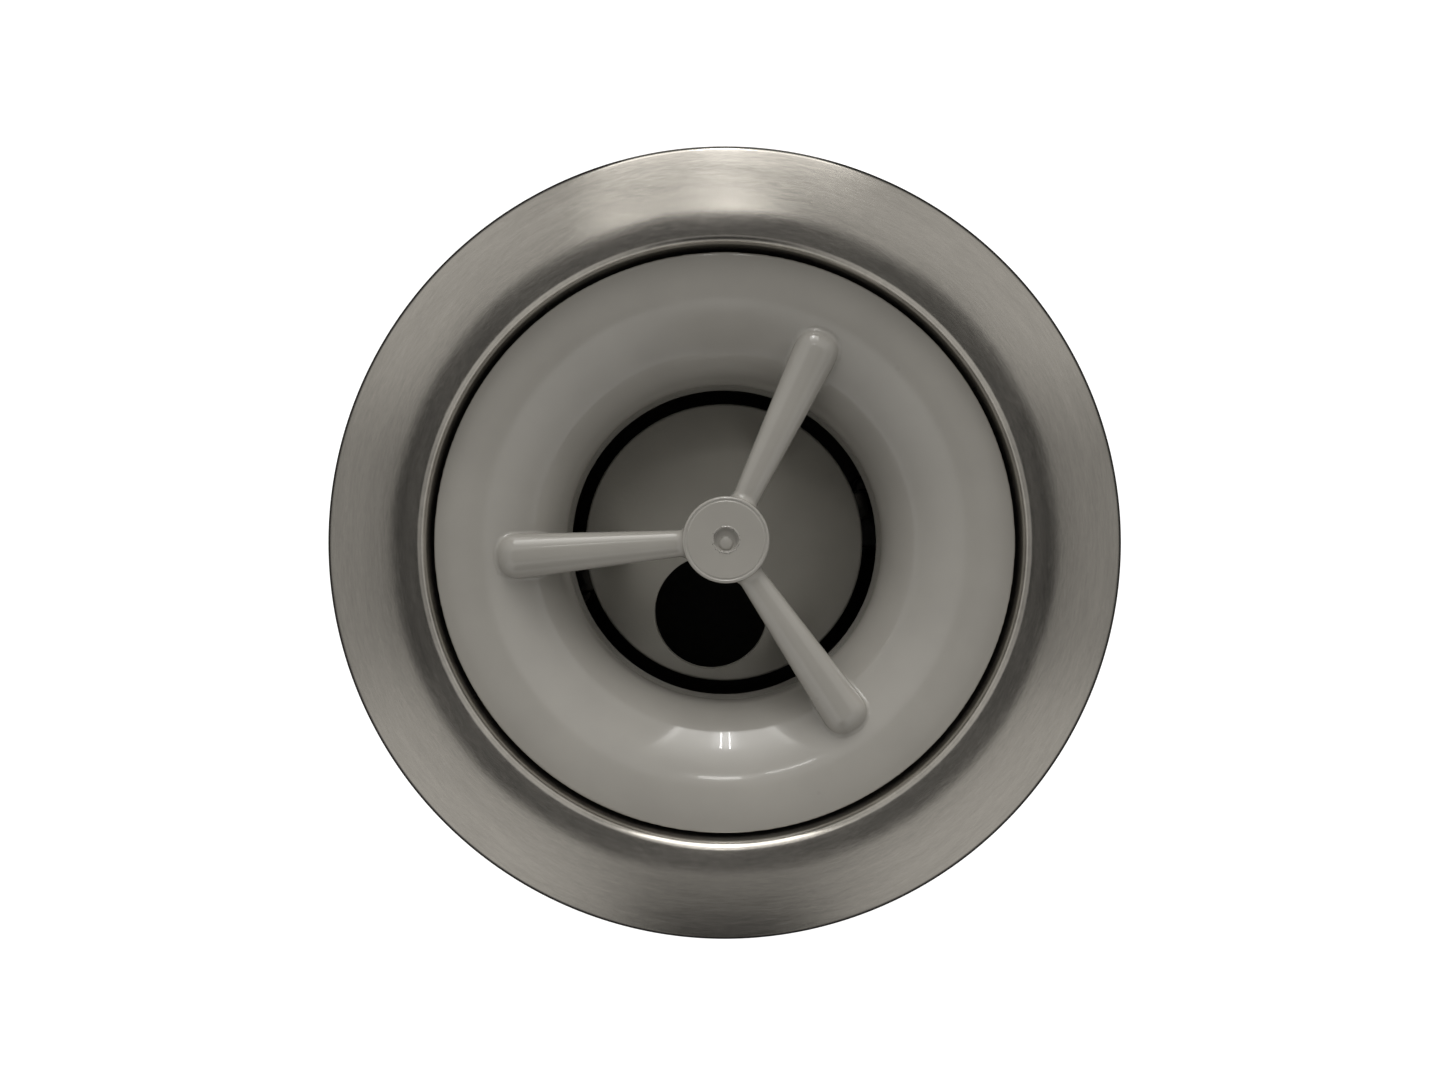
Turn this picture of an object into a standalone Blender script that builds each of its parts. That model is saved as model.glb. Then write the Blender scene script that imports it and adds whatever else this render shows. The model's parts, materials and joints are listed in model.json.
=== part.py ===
"""Batch-feed kitchen garbage disposal, modelled as the separate pieces it comes apart into.

Metres, +Z up. The origin is the centre of the sink's drain opening, on the sink surface that the
flange's rim rests on. Everything with a negative Z hangs under the sink. The feed cover drops into
the flange from above, and turning it by its three-arm grip starts the motor.
"""

from math import cos, pi, radians, sin, tau

import bmesh
import bpy
from mathutils import Matrix, Vector

MM = 0.001
GAP = 0.3 * MM  # between pieces that touch or are cut by each other

# Round pieces are many-sided prisms: how many sides by size.
LARGE, MEDIUM, SMALL = 32, 20, 10

# Sink flange: 4-1/2 in. rim for a 3-1/2 in. sink opening.
RIM_R = 57.15 * MM
CREST_R = 46.8 * MM
CREST_Z = 2.1 * MM
SHOULDER_TILT = 12.0  # degrees, where the shoulder starts to roll over into the neck
BAND_TILTS = (5.3, 12.0)  # of the rim's outer band, at its inner and outer edge
SHEET = 0.8 * MM
NECK_R = 43.0 * MM  # inside, where the cover and the sleeve's collar turn
LOWER_NECK_R = 42.0 * MM  # inside, below the ledge that carries the sleeve
NECK_LEDGE_Z = -9.5 * MM
NECK_END_Z = -46.0 * MM
SNAP_GROOVE_Z = -26.8 * MM

# Feed cover: a bell-mouthed funnel with a grip of three arms.
COVER_R = 42.6 * MM
COVER_WALL = 2.0 * MM
COVER_FACE_Z = -1.15 * MM
BELL_R = 18.8 * MM  # of the wide curve that starts level, just inside the rim
BELL_CENTRE_R = 41.2 * MM
BELL_TURN = 55.0  # degrees the wide curve turns through before a tighter one meets the throat
THROAT_R = 24.5 * MM
THROAT_END_Z = -20.0 * MM
ARM_ANGLES = [64.5, 184.5, 304.5]
ARM_REACH = 30.6 * MM
ARM_ROOT_HALF_WIDTH = 2.1 * MM
ARM_NOSE_R = 3.5 * MM
ARM_TOP_Z = -1.3 * MM
ARM_UNDER_Z = -9.0 * MM
HUB_R = 6.4 * MM
HUB_TOP_Z = -0.2 * MM
NOTCH_ANGLES = [34.5 + 90.0 * quarter for quarter in range(4)]
NOTCH_WIDTH = 4.8 * MM

# Baffle disc under the throat.
BAFFLE_R = 23.6 * MM
BAFFLE_TOP_Z = -28.75 * MM
BAFFLE_THICK = 2.5 * MM
WATER_HOLE_R = 9.6 * MM
WATER_HOLE_OFFSET = 12.1 * MM
WATER_HOLE_ANGLE = 259.5

# Switch sleeve: turns with the cover and carries the magnets.
COLLAR_TOP_Z = -3.9 * MM
SLEEVE_R = 41.7 * MM
SLEEVE_WALL = 1.8 * MM
SLEEVE_END_Z = -72.0 * MM
MAGNET_ANGLE = 94.5
REED_ANGLE = MAGNET_ANGLE + 45.0

# Mounting hardware under the sink.
SINK_SHEET = 3.0 * MM
BACKUP_R = 58.9 * MM
MOUNT_RING_Z = -22.0 * MM
MOUNT_RING_THICK = 4.5 * MM
MOUNT_RING_R = 63.5 * MM
HOOK_ANGLES = [30.0, 150.0, 270.0]
HOOK_END_Z = -56.0 * MM
MOUNT_SCREW_R = 55.5 * MM
LOCK_RING_Z = -50.3 * MM
LOCK_RING_THICK = 3.0 * MM

# Screws that hold the body's sections together, and the long bolts through the motor.
BODY_SCREW_ANGLES = THROUGH_BOLT_ANGLES = [45.0 + 90.0 * quarter for quarter in range(4)]

# Grinding chamber.
HOPPER_TOP_Z = -47.0 * MM
HOPPER_BOTTOM_Z = -136.0 * MM
HOPPER_NECK_R = 45.0 * MM
HOPPER_R = 60.5 * MM
HOPPER_WALL = 3.5 * MM
BODY_FLANGE_R = 71.0 * MM
BODY_SCREW_R = 67.9 * MM
DISHWASHER_Z = -108.0 * MM
TURNTABLE_TOP_Z = -132.5 * MM
TURNTABLE_R = 55.5 * MM
IMPELLER_ORBIT_R = 38.0 * MM
IMPELLER_ANGLES = [3.75, 183.75]
PIN_R = 2.5 * MM

# Drain chamber and discharge.
FRAME_TOP_Z = -138.6 * MM
FRAME_BOTTOM_Z = -189.0 * MM
FRAME_R = 67.0 * MM
OUTLET_Z = -165.0 * MM
OUTLET_END_X = 74.5 * MM
OUTLET_BORE_R = 17.0 * MM
PIPE_R = 19.0 * MM
ELBOW_BEND_R = 20.0 * MM
ELBOW_END_Z = -215.0 * MM
DISCHARGE_SCREW_Y = 26.0 * MM

# Motor.
SHAFT_R = 6.35 * MM
SHAFT_TOP_Z = -124.0 * MM
SHAFT_BOTTOM_Z = -330.0 * MM
WRENCH_SOCKET_R = 3.7 * MM
HOUSING_R = 67.0 * MM
HOUSING_WALL = 2.0 * MM
HOUSING_BOTTOM_Z = -297.0 * MM
STATOR_TOP_Z = -216.0 * MM
STATOR_BOTTOM_Z = -266.0 * MM
ROTOR_R = 33.5 * MM
THROUGH_BOLT_R = 60.0 * MM
BASE_Z = -335.0 * MM
FLOOR_THICK = 4.0 * MM
TRIM_R = 73.0 * MM
TRIM_TOP_Z = -124.0 * MM
TRIM_BOTTOM_Z = -205.0 * MM
RESET_XY = (0.0, -42.0 * MM)
GLAND_Z = -315.0 * MM

STEEL = ("brushed_steel", (0.62, 0.61, 0.59), 0.32, 1.0)
ZINC = ("zinc_steel", (0.58, 0.58, 0.56), 0.42, 1.0)
COVER_PLASTIC = ("cover_plastic", (0.36, 0.345, 0.32), 0.22, 0.0)
BAFFLE_PLASTIC = ("baffle_plastic", (0.10, 0.098, 0.088), 0.55, 0.0)
BLACK_PLASTIC = ("black_plastic", (0.012, 0.012, 0.013), 0.5, 0.0)
RUBBER = ("black_rubber", (0.015, 0.015, 0.015), 0.75, 0.0)
HOPPER_PAINT = ("hopper_paint", (0.022, 0.023, 0.025), 0.4, 0.0)
TRIM_PAINT = ("trim_plastic", (0.23, 0.235, 0.24), 0.38, 0.0)
HOUSING_PAINT = ("housing_paint", (0.018, 0.019, 0.021), 0.35, 0.2)
CAST = ("cast_aluminium", (0.42, 0.42, 0.41), 0.5, 1.0)
IRON = ("cast_iron", (0.12, 0.115, 0.11), 0.6, 1.0)
COPPER = ("copper_wire", (0.45, 0.16, 0.06), 0.35, 1.0)
FOAM = ("liner_foam", (0.04, 0.04, 0.042), 0.95, 0.0)
MAGNET = ("magnet", (0.30, 0.30, 0.31), 0.3, 1.0)
RED = ("reset_red", (0.45, 0.02, 0.015), 0.4, 0.0)


# ---------------------------------------------------------------- modelling helpers


def clear_scene():
    for old in list(bpy.data.objects):
        bpy.data.objects.remove(old, do_unlink=True)


def new_collection(name):
    made = bpy.data.collections.new(name)
    bpy.context.scene.collection.children.link(made)
    return made


def material(look):
    name, colour, roughness, metallic = look
    made = bpy.data.materials.get(name)
    if made is None:
        made = bpy.data.materials.new(name)
        made.use_nodes = True
        shader = made.node_tree.nodes["Principled BSDF"]
        shader.inputs["Base Color"].default_value = (*colour, 1.0)
        shader.inputs["Roughness"].default_value = roughness
        shader.inputs["Metallic"].default_value = metallic
    return made


def as_piece(made, name, look):
    """Names an object, gives it its material and files it with the parts."""
    made.name = name
    made.data.name = name
    made.data.materials.clear()
    made.data.materials.append(material(look))
    for home in list(made.users_collection):
        home.objects.unlink(made)
    PARTS.objects.link(made)
    return made


def as_tool(made):
    """Files an object with the cutters, which are not pieces of the machine."""
    for home in list(made.users_collection):
        home.objects.unlink(made)
    CUTTERS.objects.link(made)
    made.hide_render = True
    made.display_type = "WIRE"
    return made


def turned(profile, steps, closed=True):
    """A profile of (radius, z), down its outer side, swept round Z by a Screw modifier."""
    mesh = bpy.data.meshes.new("turned")
    edges = [(i, i + 1) for i in range(len(profile) - 1)]
    if closed:
        edges.append((len(profile) - 1, 0))
    mesh.from_pydata([(r, 0.0, z) for r, z in profile], edges, [])
    made = bpy.data.objects.new("turned", mesh)
    bpy.context.scene.collection.objects.link(made)
    screw = made.modifiers.new("Screw", "SCREW")
    screw.steps = screw.render_steps = steps
    screw.use_merge_vertices = True
    screw.merge_threshold = 0.00001
    return made


def ring(inner, outer, bottom, top, steps=LARGE):
    return turned([(inner, top), (outer, top), (outer, bottom), (inner, bottom)], steps)


def disc(radius, bottom, top, steps=MEDIUM):
    return turned([(0.0, top), (radius, top), (radius, bottom), (0.0, bottom)], steps, closed=False)


def box(size, centre, turn_z=0.0):
    """A cube primitive scaled to size, centred at centre and then turned about the Z axis."""
    bpy.ops.mesh.primitive_cube_add(size=1.0)
    made = bpy.context.active_object
    place = Matrix.Rotation(radians(turn_z), 4, "Z") @ Matrix.Translation(centre)
    made.data.transform(place @ Matrix.Diagonal((*size, 1.0)))
    return made


def rod(radius, start, end, sides=MEDIUM):
    """A cylinder primitive from start to end."""
    start, end = Vector(start), Vector(end)
    along = end - start
    bpy.ops.mesh.primitive_cylinder_add(vertices=sides, radius=radius, depth=along.length)
    made = bpy.context.active_object
    turn = along.to_track_quat("Z", "Y").to_matrix().to_4x4()
    made.data.transform(Matrix.Translation((start + end) / 2) @ turn)
    return made


def extruded(outline, bottom, top):
    """A flat outline in the XY plane as a filled 2D curve, extruded from bottom to top."""
    curve = bpy.data.curves.new("outline", "CURVE")
    curve.dimensions = "2D"
    curve.fill_mode = "BOTH"
    curve.extrude = (top - bottom) / 2
    spline = curve.splines.new("POLY")
    spline.points.add(len(outline) - 1)
    for point, (x, y) in zip(spline.points, outline):
        point.co = (x, y, 0.0, 1.0)
    spline.use_cyclic_u = True
    drawn = bpy.data.objects.new("outline", curve)
    drawn.location.z = (top + bottom) / 2
    return as_mesh(drawn)


def tube_along(points, radius, resolution=4):
    """A round bar along points, as a curve with a bevel depth and filled caps."""
    curve = bpy.data.curves.new("path", "CURVE")
    curve.dimensions = "3D"
    curve.bevel_depth = radius
    curve.bevel_resolution = resolution
    curve.use_fill_caps = True
    spline = curve.splines.new("POLY")
    spline.points.add(len(points) - 1)
    for point, place in zip(spline.points, points):
        point.co = (*place, 1.0)
    return as_mesh(bpy.data.objects.new("path", curve))


def as_mesh(drawn):
    """A curve object made a mesh with its caps welded, so that it can be cut and joined."""
    bpy.context.scene.collection.objects.link(drawn)
    bpy.context.view_layer.update()
    seen = drawn.evaluated_get(bpy.context.evaluated_depsgraph_get())
    mesh = bpy.data.meshes.new_from_object(seen)
    mesh.transform(drawn.matrix_world)
    bpy.data.objects.remove(drawn)
    welded = bmesh.new()
    welded.from_mesh(mesh)
    bmesh.ops.remove_doubles(welded, verts=welded.verts, dist=0.000005)
    bmesh.ops.recalc_face_normals(welded, faces=welded.faces)
    welded.to_mesh(mesh)
    welded.free()
    made = bpy.data.objects.new("mesh", mesh)
    bpy.context.scene.collection.objects.link(made)
    return made


def combine(piece, tool, operation):
    """Cuts or joins a tool, which then follows the piece to its place."""
    as_tool(tool)
    tool.parent = piece
    boolean = piece.modifiers.new("Boolean", "BOOLEAN")
    boolean.operation = operation
    boolean.object = tool
    boolean.solver = "EXACT"
    return piece


def cut(piece, tool):
    return combine(piece, tool, "DIFFERENCE")


def join(piece, tool):
    return combine(piece, tool, "UNION")


def moved(made, x=0.0, y=0.0, z=0.0):
    made.location = Vector((x, y, z))
    return made


def polar(radius, angle):
    return radius * cos(radians(angle)), radius * sin(radians(angle))


def arc(centre, radius, start, end, count):
    """Points on an arc in degrees, both ends included."""
    step = (end - start) / (count - 1)
    turns = [radians(start + step * i) for i in range(count)]
    return [(centre[0] + radius * cos(t), centre[1] + radius * sin(t)) for t in turns]


def smooth(piece, angle=35.0):
    piece.data.shade_smooth()
    piece.data.set_sharp_from_angle(angle=radians(angle))
    return piece


# ---------------------------------------------------------------- in the sink


def dome_run(start, radius, first, last, steps):
    """Points outwards or inwards from start as the slope turns from first to last degrees."""
    points = []
    for step in range(1, steps + 1):
        tilt = radians(first + (last - first) * step / steps)
        across = radius * (sin(tilt) - sin(radians(first)))
        fall = radius * (cos(radians(first)) - cos(tilt))
        points.append((start[0] + across, start[1] - fall))
    return points


def make_sink_flange():
    seat_inner = RIM_R - 2.2 * MM
    outer_neck = LOWER_NECK_R + SHEET
    groove_r = outer_neck - 0.4 * MM
    crest = (CREST_R, CREST_Z)
    shoulder = dome_run(crest, 14.0 * MM, 0.0, -SHOULDER_TILT, 2)
    roll_r = (shoulder[-1][0] - NECK_R) / (1.0 - sin(radians(SHOULDER_TILT)))
    roll = dome_run(shoulder[-1], roll_r, -SHOULDER_TILT, -90.0, 3)
    crown = dome_run(crest, 14.0 * MM, 0.0, BAND_TILTS[0], 1)
    band = dome_run(crown[-1], 77.0 * MM, *BAND_TILTS, 3)
    face = [
        (LOWER_NECK_R, NECK_END_Z),
        (LOWER_NECK_R, NECK_LEDGE_Z - 0.6 * MM),
        (NECK_R, NECK_LEDGE_Z),
        *reversed(roll),
        *reversed(shoulder),
        crest,
        *crown,
        *band,
    ]
    back = [
        (RIM_R, 0.0),
        (seat_inner, 0.0),
        (CREST_R + 1.2 * MM, CREST_Z - 0.9 * MM),
        (CREST_R - 1.8 * MM, CREST_Z - 1.3 * MM),
        (NECK_R + SHEET, -0.8 * MM),
        (NECK_R + SHEET, NECK_LEDGE_Z - SHEET),
        (outer_neck, NECK_LEDGE_Z - 1.4 * MM),
        (outer_neck, SNAP_GROOVE_Z),
        (groove_r, SNAP_GROOVE_Z),
        (groove_r, SNAP_GROOVE_Z - 2.6 * MM),
        (outer_neck, SNAP_GROOVE_Z - 2.6 * MM),
        (outer_neck, NECK_END_Z),
    ]
    as_piece(smooth(turned(face + back, LARGE)), "sink_flange", STEEL)


def cover_profile():
    """The bell mouth: a tight curve out of the throat, then a wide one that runs out level."""
    turn = radians(BELL_TURN)
    wide = (BELL_CENTRE_R, COVER_FACE_Z - BELL_R)
    lip_r = (BELL_CENTRE_R - BELL_R * sin(turn) - THROAT_R) / (1.0 - sin(turn))
    lip = (THROAT_R + lip_r, wide[1] + (BELL_R - lip_r) * cos(turn))
    meet = 90.0 + BELL_TURN
    upper = arc(lip, lip_r, 180.0, meet, 4)[:-1] + arc(wide, BELL_R, meet, 90.0, 5)
    under = arc(wide, BELL_R - COVER_WALL, 90.0, meet, 5)[:-1] + arc(lip, lip_r - COVER_WALL, meet, 180.0, 4)
    rim = [(COVER_R - 0.5 * MM, COVER_FACE_Z), (COVER_R, -1.6 * MM), (COVER_R, -3.2 * MM)]
    throat = [(THROAT_R + COVER_WALL, THROAT_END_Z), (THROAT_R, THROAT_END_Z)]
    return throat[1:] + upper + rim + under + throat[:1]


def make_feed_cover():
    cover = turned(cover_profile(), LARGE)
    hub = turned(
        [
            (0.0, HUB_TOP_Z),
            (HUB_R - 0.6 * MM, HUB_TOP_Z),
            (HUB_R, HUB_TOP_Z - 0.7 * MM),
            (HUB_R, ARM_UNDER_Z - 2.0 * MM),
            (0.0, ARM_UNDER_Z - 2.0 * MM),
        ],
        MEDIUM,
        closed=False,
    )
    for angle in ARM_ANGLES:
        nose = arc((ARM_REACH, 0.0), ARM_NOSE_R, -80.0, 80.0, 8)
        outline = [(1.0 * MM, -ARM_ROOT_HALF_WIDTH), *nose, (1.0 * MM, ARM_ROOT_HALF_WIDTH)]
        arm = extruded(outline, ARM_UNDER_Z, ARM_TOP_Z)
        arm.rotation_euler.z = radians(angle)
        join(hub, arm)
    join(cover, hub)
    lug_top, lug_bottom = -2.2 * MM, -6.8 * MM
    for angle in NOTCH_ANGLES:
        size = (1.6 * MM, NOTCH_WIDTH - 0.8 * MM, lug_top - lug_bottom)
        centre = (COVER_R - 1.3 * MM, 0.0, (lug_top + lug_bottom) / 2)
        join(cover, box(size, centre, angle))
    cut(cover, rod(1.75 * MM, (0, 0, HUB_TOP_Z - 0.8 * MM), (0, 0, 1.0 * MM), SMALL))
    as_piece(cover, "feed_cover", COVER_PLASTIC)


def make_cover_baffle():
    baffle = disc(BAFFLE_R, BAFFLE_TOP_Z - BAFFLE_THICK, BAFFLE_TOP_Z, LARGE)
    hole_x, hole_y = polar(WATER_HOLE_OFFSET, WATER_HOLE_ANGLE)
    low, high = BAFFLE_TOP_Z - 2 * BAFFLE_THICK, BAFFLE_TOP_Z + BAFFLE_THICK
    cut(baffle, rod(WATER_HOLE_R, (hole_x, hole_y, low), (hole_x, hole_y, high), MEDIUM))
    leg_top = ARM_UNDER_Z - GAP
    leg_low = BAFFLE_TOP_Z - 1.0 * MM
    for angle in ARM_ANGLES:
        size = (5.0 * MM, 3.0 * MM, leg_top - leg_low)
        join(baffle, box(size, (18.5 * MM, 0.0, (leg_top + leg_low) / 2), angle))
    as_piece(baffle, "cover_baffle", BAFFLE_PLASTIC)


def make_switch_sleeve():
    inner = SLEEVE_R - SLEEVE_WALL
    collar_r = NECK_R - GAP
    collar_bottom = NECK_LEDGE_Z + GAP
    sleeve = turned(
        [
            (inner, COLLAR_TOP_Z),
            (collar_r, COLLAR_TOP_Z),
            (collar_r, collar_bottom),
            (SLEEVE_R, collar_bottom - 0.6 * MM),
            (SLEEVE_R, SLEEVE_END_Z),
            (inner, SLEEVE_END_Z),
        ],
        LARGE,
    )
    for angle in NOTCH_ANGLES:
        cut(sleeve, box((8.0 * MM, NOTCH_WIDTH, 8.0 * MM), (SLEEVE_R, 0.0, -3.6 * MM), angle))
    as_piece(sleeve, "switch_sleeve", BLACK_PLASTIC)
    for number, angle in enumerate((MAGNET_ANGLE, MAGNET_ANGLE + 180.0), 1):
        centre = (inner - 2.1 * MM, 0.0, -65.0 * MM)
        magnet = box((3.0 * MM, 7.0 * MM, 9.0 * MM), centre, angle)
        as_piece(magnet, f"sleeve_magnet_{number}", MAGNET)


# ---------------------------------------------------------------- under the sink


def make_mounting():
    gasket_top = -SINK_SHEET - GAP
    flange_top = gasket_top - 2.0 * MM - GAP
    flange_bottom = flange_top - 2.5 * MM
    inner = NECK_R + SHEET + 0.65 * MM
    as_piece(ring(inner, 56.5 * MM, gasket_top - 2.0 * MM, gasket_top), "sink_gasket", RUBBER)
    as_piece(ring(inner, BACKUP_R, flange_bottom, flange_top), "backup_flange", ZINC)

    ring_bottom = MOUNT_RING_Z - MOUNT_RING_THICK
    mount_ring = ring(LOWER_NECK_R + SHEET + 0.4 * MM, MOUNT_RING_R, ring_bottom, MOUNT_RING_Z)
    foot_top = LOCK_RING_Z - LOCK_RING_THICK - GAP
    for angle in HOOK_ANGLES:
        strap_low, strap_high = HOOK_END_Z + 0.6 * MM, ring_bottom + 1.0 * MM
        size = (2.6 * MM, 14.0 * MM, strap_high - strap_low)
        join(mount_ring, box(size, (61.2 * MM, 0.0, (strap_low + strap_high) / 2), angle))
        size = (6.0 * MM, 15.0 * MM, foot_top - HOOK_END_Z)
        join(mount_ring, box(size, (59.2 * MM, 0.0, (foot_top + HOOK_END_Z) / 2), angle))
    for angle in HOOK_ANGLES:
        x, y = polar(MOUNT_SCREW_R, angle + 60.0)
        hole = rod(3.0 * MM + GAP, (x, y, -30 * MM), (x, y, -18 * MM), SMALL)
        cut(mount_ring, hole)
    as_piece(mount_ring, "upper_mount_ring", ZINC)

    for number, angle in enumerate(HOOK_ANGLES, 1):
        head_top = ring_bottom - 6.5 * MM
        screw = turned(
            [
                (0.0, flange_bottom - GAP),
                (3.0 * MM, flange_bottom - GAP),
                (3.0 * MM, head_top),
                (4.2 * MM, head_top),
                (4.2 * MM, head_top - 3.5 * MM),
                (0.0, head_top - 3.5 * MM),
            ],
            SMALL,
            closed=False,
        )
        moved(screw, *polar(MOUNT_SCREW_R, angle + 60.0))
        as_piece(screw, f"mount_screw_{number}", ZINC)

    snap_top = SNAP_GROOVE_Z - GAP
    snap = ring(LOWER_NECK_R + SHEET - 0.1 * MM, 46.6 * MM, snap_top - 2.0 * MM, snap_top)
    cut(snap, box((12 * MM, 8.0 * MM, 8.0 * MM), (44.5 * MM, 0.0, snap_top), 90.0))
    as_piece(snap, "snap_ring", STEEL)

    low = HOPPER_TOP_Z + GAP
    gasket = turned(
        [
            (LOWER_NECK_R + SHEET + GAP, -39.0 * MM),
            (46.5 * MM, -39.0 * MM),
            (47.5 * MM, -42.5 * MM),
            (50.5 * MM, -43.5 * MM),
            (50.5 * MM, low),
            (LOWER_NECK_R + SHEET + GAP, low),
        ],
        LARGE,
    )
    as_piece(gasket, "mount_gasket", RUBBER)

    ear_r = 59.2 * MM
    bottom = LOCK_RING_Z - LOCK_RING_THICK
    lock = ring(HOPPER_NECK_R + HOPPER_WALL, 55.4 * MM, bottom, LOCK_RING_Z)
    for angle in HOOK_ANGLES:
        middle = (ear_r - 4.4 * MM, 0.0, LOCK_RING_Z - LOCK_RING_THICK / 2)
        join(lock, box((8.0 * MM, 14.0 * MM, LOCK_RING_THICK), middle, angle))
    as_piece(lock, "lock_ring", ZINC)


# ---------------------------------------------------------------- grinding chamber


def make_hopper():
    neck_out = HOPPER_NECK_R + 3.0 * MM
    body_out = HOPPER_R + HOPPER_WALL
    hopper = turned(
        [
            (HOPPER_NECK_R, HOPPER_TOP_Z),
            (54.5 * MM, HOPPER_TOP_Z),
            (54.5 * MM, HOPPER_TOP_Z - 3.0 * MM),
            (neck_out, HOPPER_TOP_Z - 3.0 * MM),
            (neck_out, -75.5 * MM),
            (body_out, -91.0 * MM),
            (body_out, HOPPER_BOTTOM_Z + 5.0 * MM),
            (BODY_FLANGE_R, HOPPER_BOTTOM_Z + 5.0 * MM),
            (BODY_FLANGE_R, HOPPER_BOTTOM_Z),
            (HOPPER_R, HOPPER_BOTTOM_Z),
            (HOPPER_R, -93.0 * MM),
            (HOPPER_NECK_R, -78.0 * MM),
        ],
        LARGE,
    )
    nipple_end = -86.0 * MM
    nipple_start = -HOPPER_R - 1.5 * MM
    join(hopper, rod(10.5 * MM, (nipple_start, 0, DISHWASHER_Z), (nipple_end, 0, DISHWASHER_Z)))
    bore_start, bore_end = nipple_start + 8 * MM, nipple_end - 5 * MM
    cut(hopper, rod(7.5 * MM, (bore_start, 0, DISHWASHER_Z), (bore_end, 0, DISHWASHER_Z)))
    for angle in BODY_SCREW_ANGLES:
        x, y = polar(BODY_SCREW_R, angle)
        cut(hopper, rod(1.8 * MM + GAP, (x, y, -140 * MM), (x, y, -128 * MM), SMALL))
    as_piece(hopper, "hopper", HOPPER_PAINT)

    plug = rod(7.5 * MM - GAP, (-64.2 * MM, 0, DISHWASHER_Z), (-61.8 * MM, 0, DISHWASHER_Z))
    as_piece(plug, "inlet_plug", BLACK_PLASTIC)

    reed_r = neck_out + GAP + 3.2 * MM
    reed = box((6.0 * MM, 14.0 * MM, 12.0 * MM), (reed_r, 0.0, -65.0 * MM), REED_ANGLE)
    as_piece(reed, "reed_switch", BLACK_PLASTIC)


def make_shredder_ring():
    top, bottom = -112.0 * MM, HOPPER_BOTTOM_Z + GAP
    inner, outer = TURNTABLE_R + 1.0 * MM, HOPPER_R - GAP
    shredder = ring(inner, outer, bottom, top)
    teeth = 16
    for tooth in range(teeth):
        middle = (inner, 0.0, bottom + 3.0 * MM)
        cut(shredder, box((4.4 * MM, 5.0 * MM, 9.0 * MM), middle, 360.0 / teeth * tooth))
    as_piece(shredder, "shredder_ring", STEEL)


def make_turntable():
    bottom = TURNTABLE_TOP_Z - 3.0 * MM
    table = turned(
        [
            (SHAFT_R + GAP, TURNTABLE_TOP_Z),
            (TURNTABLE_R, TURNTABLE_TOP_Z),
            (TURNTABLE_R, bottom),
            (14.0 * MM, bottom),
            (12.0 * MM, bottom - 5.0 * MM),
            (SHAFT_R + GAP, bottom - 5.0 * MM),
        ],
        LARGE,
    )
    for side in IMPELLER_ANGLES:
        x, y = polar(IMPELLER_ORBIT_R, side)
        cut(table, rod(PIN_R + GAP, (x, y, -140 * MM), (x, y, -128 * MM), SMALL))
        x, y = polar(44.0 * MM, side + 90.0)
        cut(table, rod(4.0 * MM, (x, y, -140 * MM), (x, y, -128 * MM), SMALL))
    as_piece(table, "turntable", STEEL)

    nut_low, nut_high = TURNTABLE_TOP_Z + GAP, TURNTABLE_TOP_Z + 6.8 * MM
    hexagon = arc((0.0, 0.0), 9.5 * MM, 0.0, 300.0, 6)
    nut = extruded(hexagon, nut_low, nut_high)
    cut(nut, rod(SHAFT_R + GAP, (0, 0, nut_low - MM), (0, 0, nut_high + MM)))
    as_piece(nut, "turntable_nut", STEEL)

    lug_low, lug_high, tip_high = TURNTABLE_TOP_Z + GAP, TURNTABLE_TOP_Z + 7.5 * MM, -117.0 * MM
    for number, side in enumerate(IMPELLER_ANGLES, 1):
        x, y = polar(IMPELLER_ORBIT_R, side)
        heel = arc((0.0, 0.0), 6.5 * MM, 90.0, 270.0, 9)
        toe = arc((10.0 * MM, 0.0), 5.0 * MM, -90.0, 90.0, 7)
        lug = extruded(heel + toe, lug_low, lug_high)
        horn = arc((10.0 * MM, 0.0), 4.6 * MM, -90.0, 90.0, 7)
        join(lug, extruded(horn, lug_high - MM, tip_high))
        cut(lug, rod(PIN_R + GAP, (0, 0, lug_low - MM), (0, 0, lug_high + MM), SMALL))
        lug.rotation_euler.z = radians(side + 90.0)
        moved(lug, x, y)
        as_piece(lug, f"impeller_{number}", STEEL)

        top = lug_high + GAP
        table_bottom = TURNTABLE_TOP_Z - 3.0 * MM - GAP
        pin = turned(
            [
                (0.0, top + 1.6 * MM),
                (4.2 * MM, top + 1.6 * MM),
                (4.2 * MM, top),
                (PIN_R, top),
                (PIN_R, table_bottom),
                (3.8 * MM, table_bottom),
                (3.8 * MM, table_bottom - 1.4 * MM),
                (0.0, table_bottom - 1.4 * MM),
            ],
            SMALL,
            closed=False,
        )
        as_piece(moved(pin, x, y), f"impeller_pin_{number}", ZINC)


# ---------------------------------------------------------------- drain chamber


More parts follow.
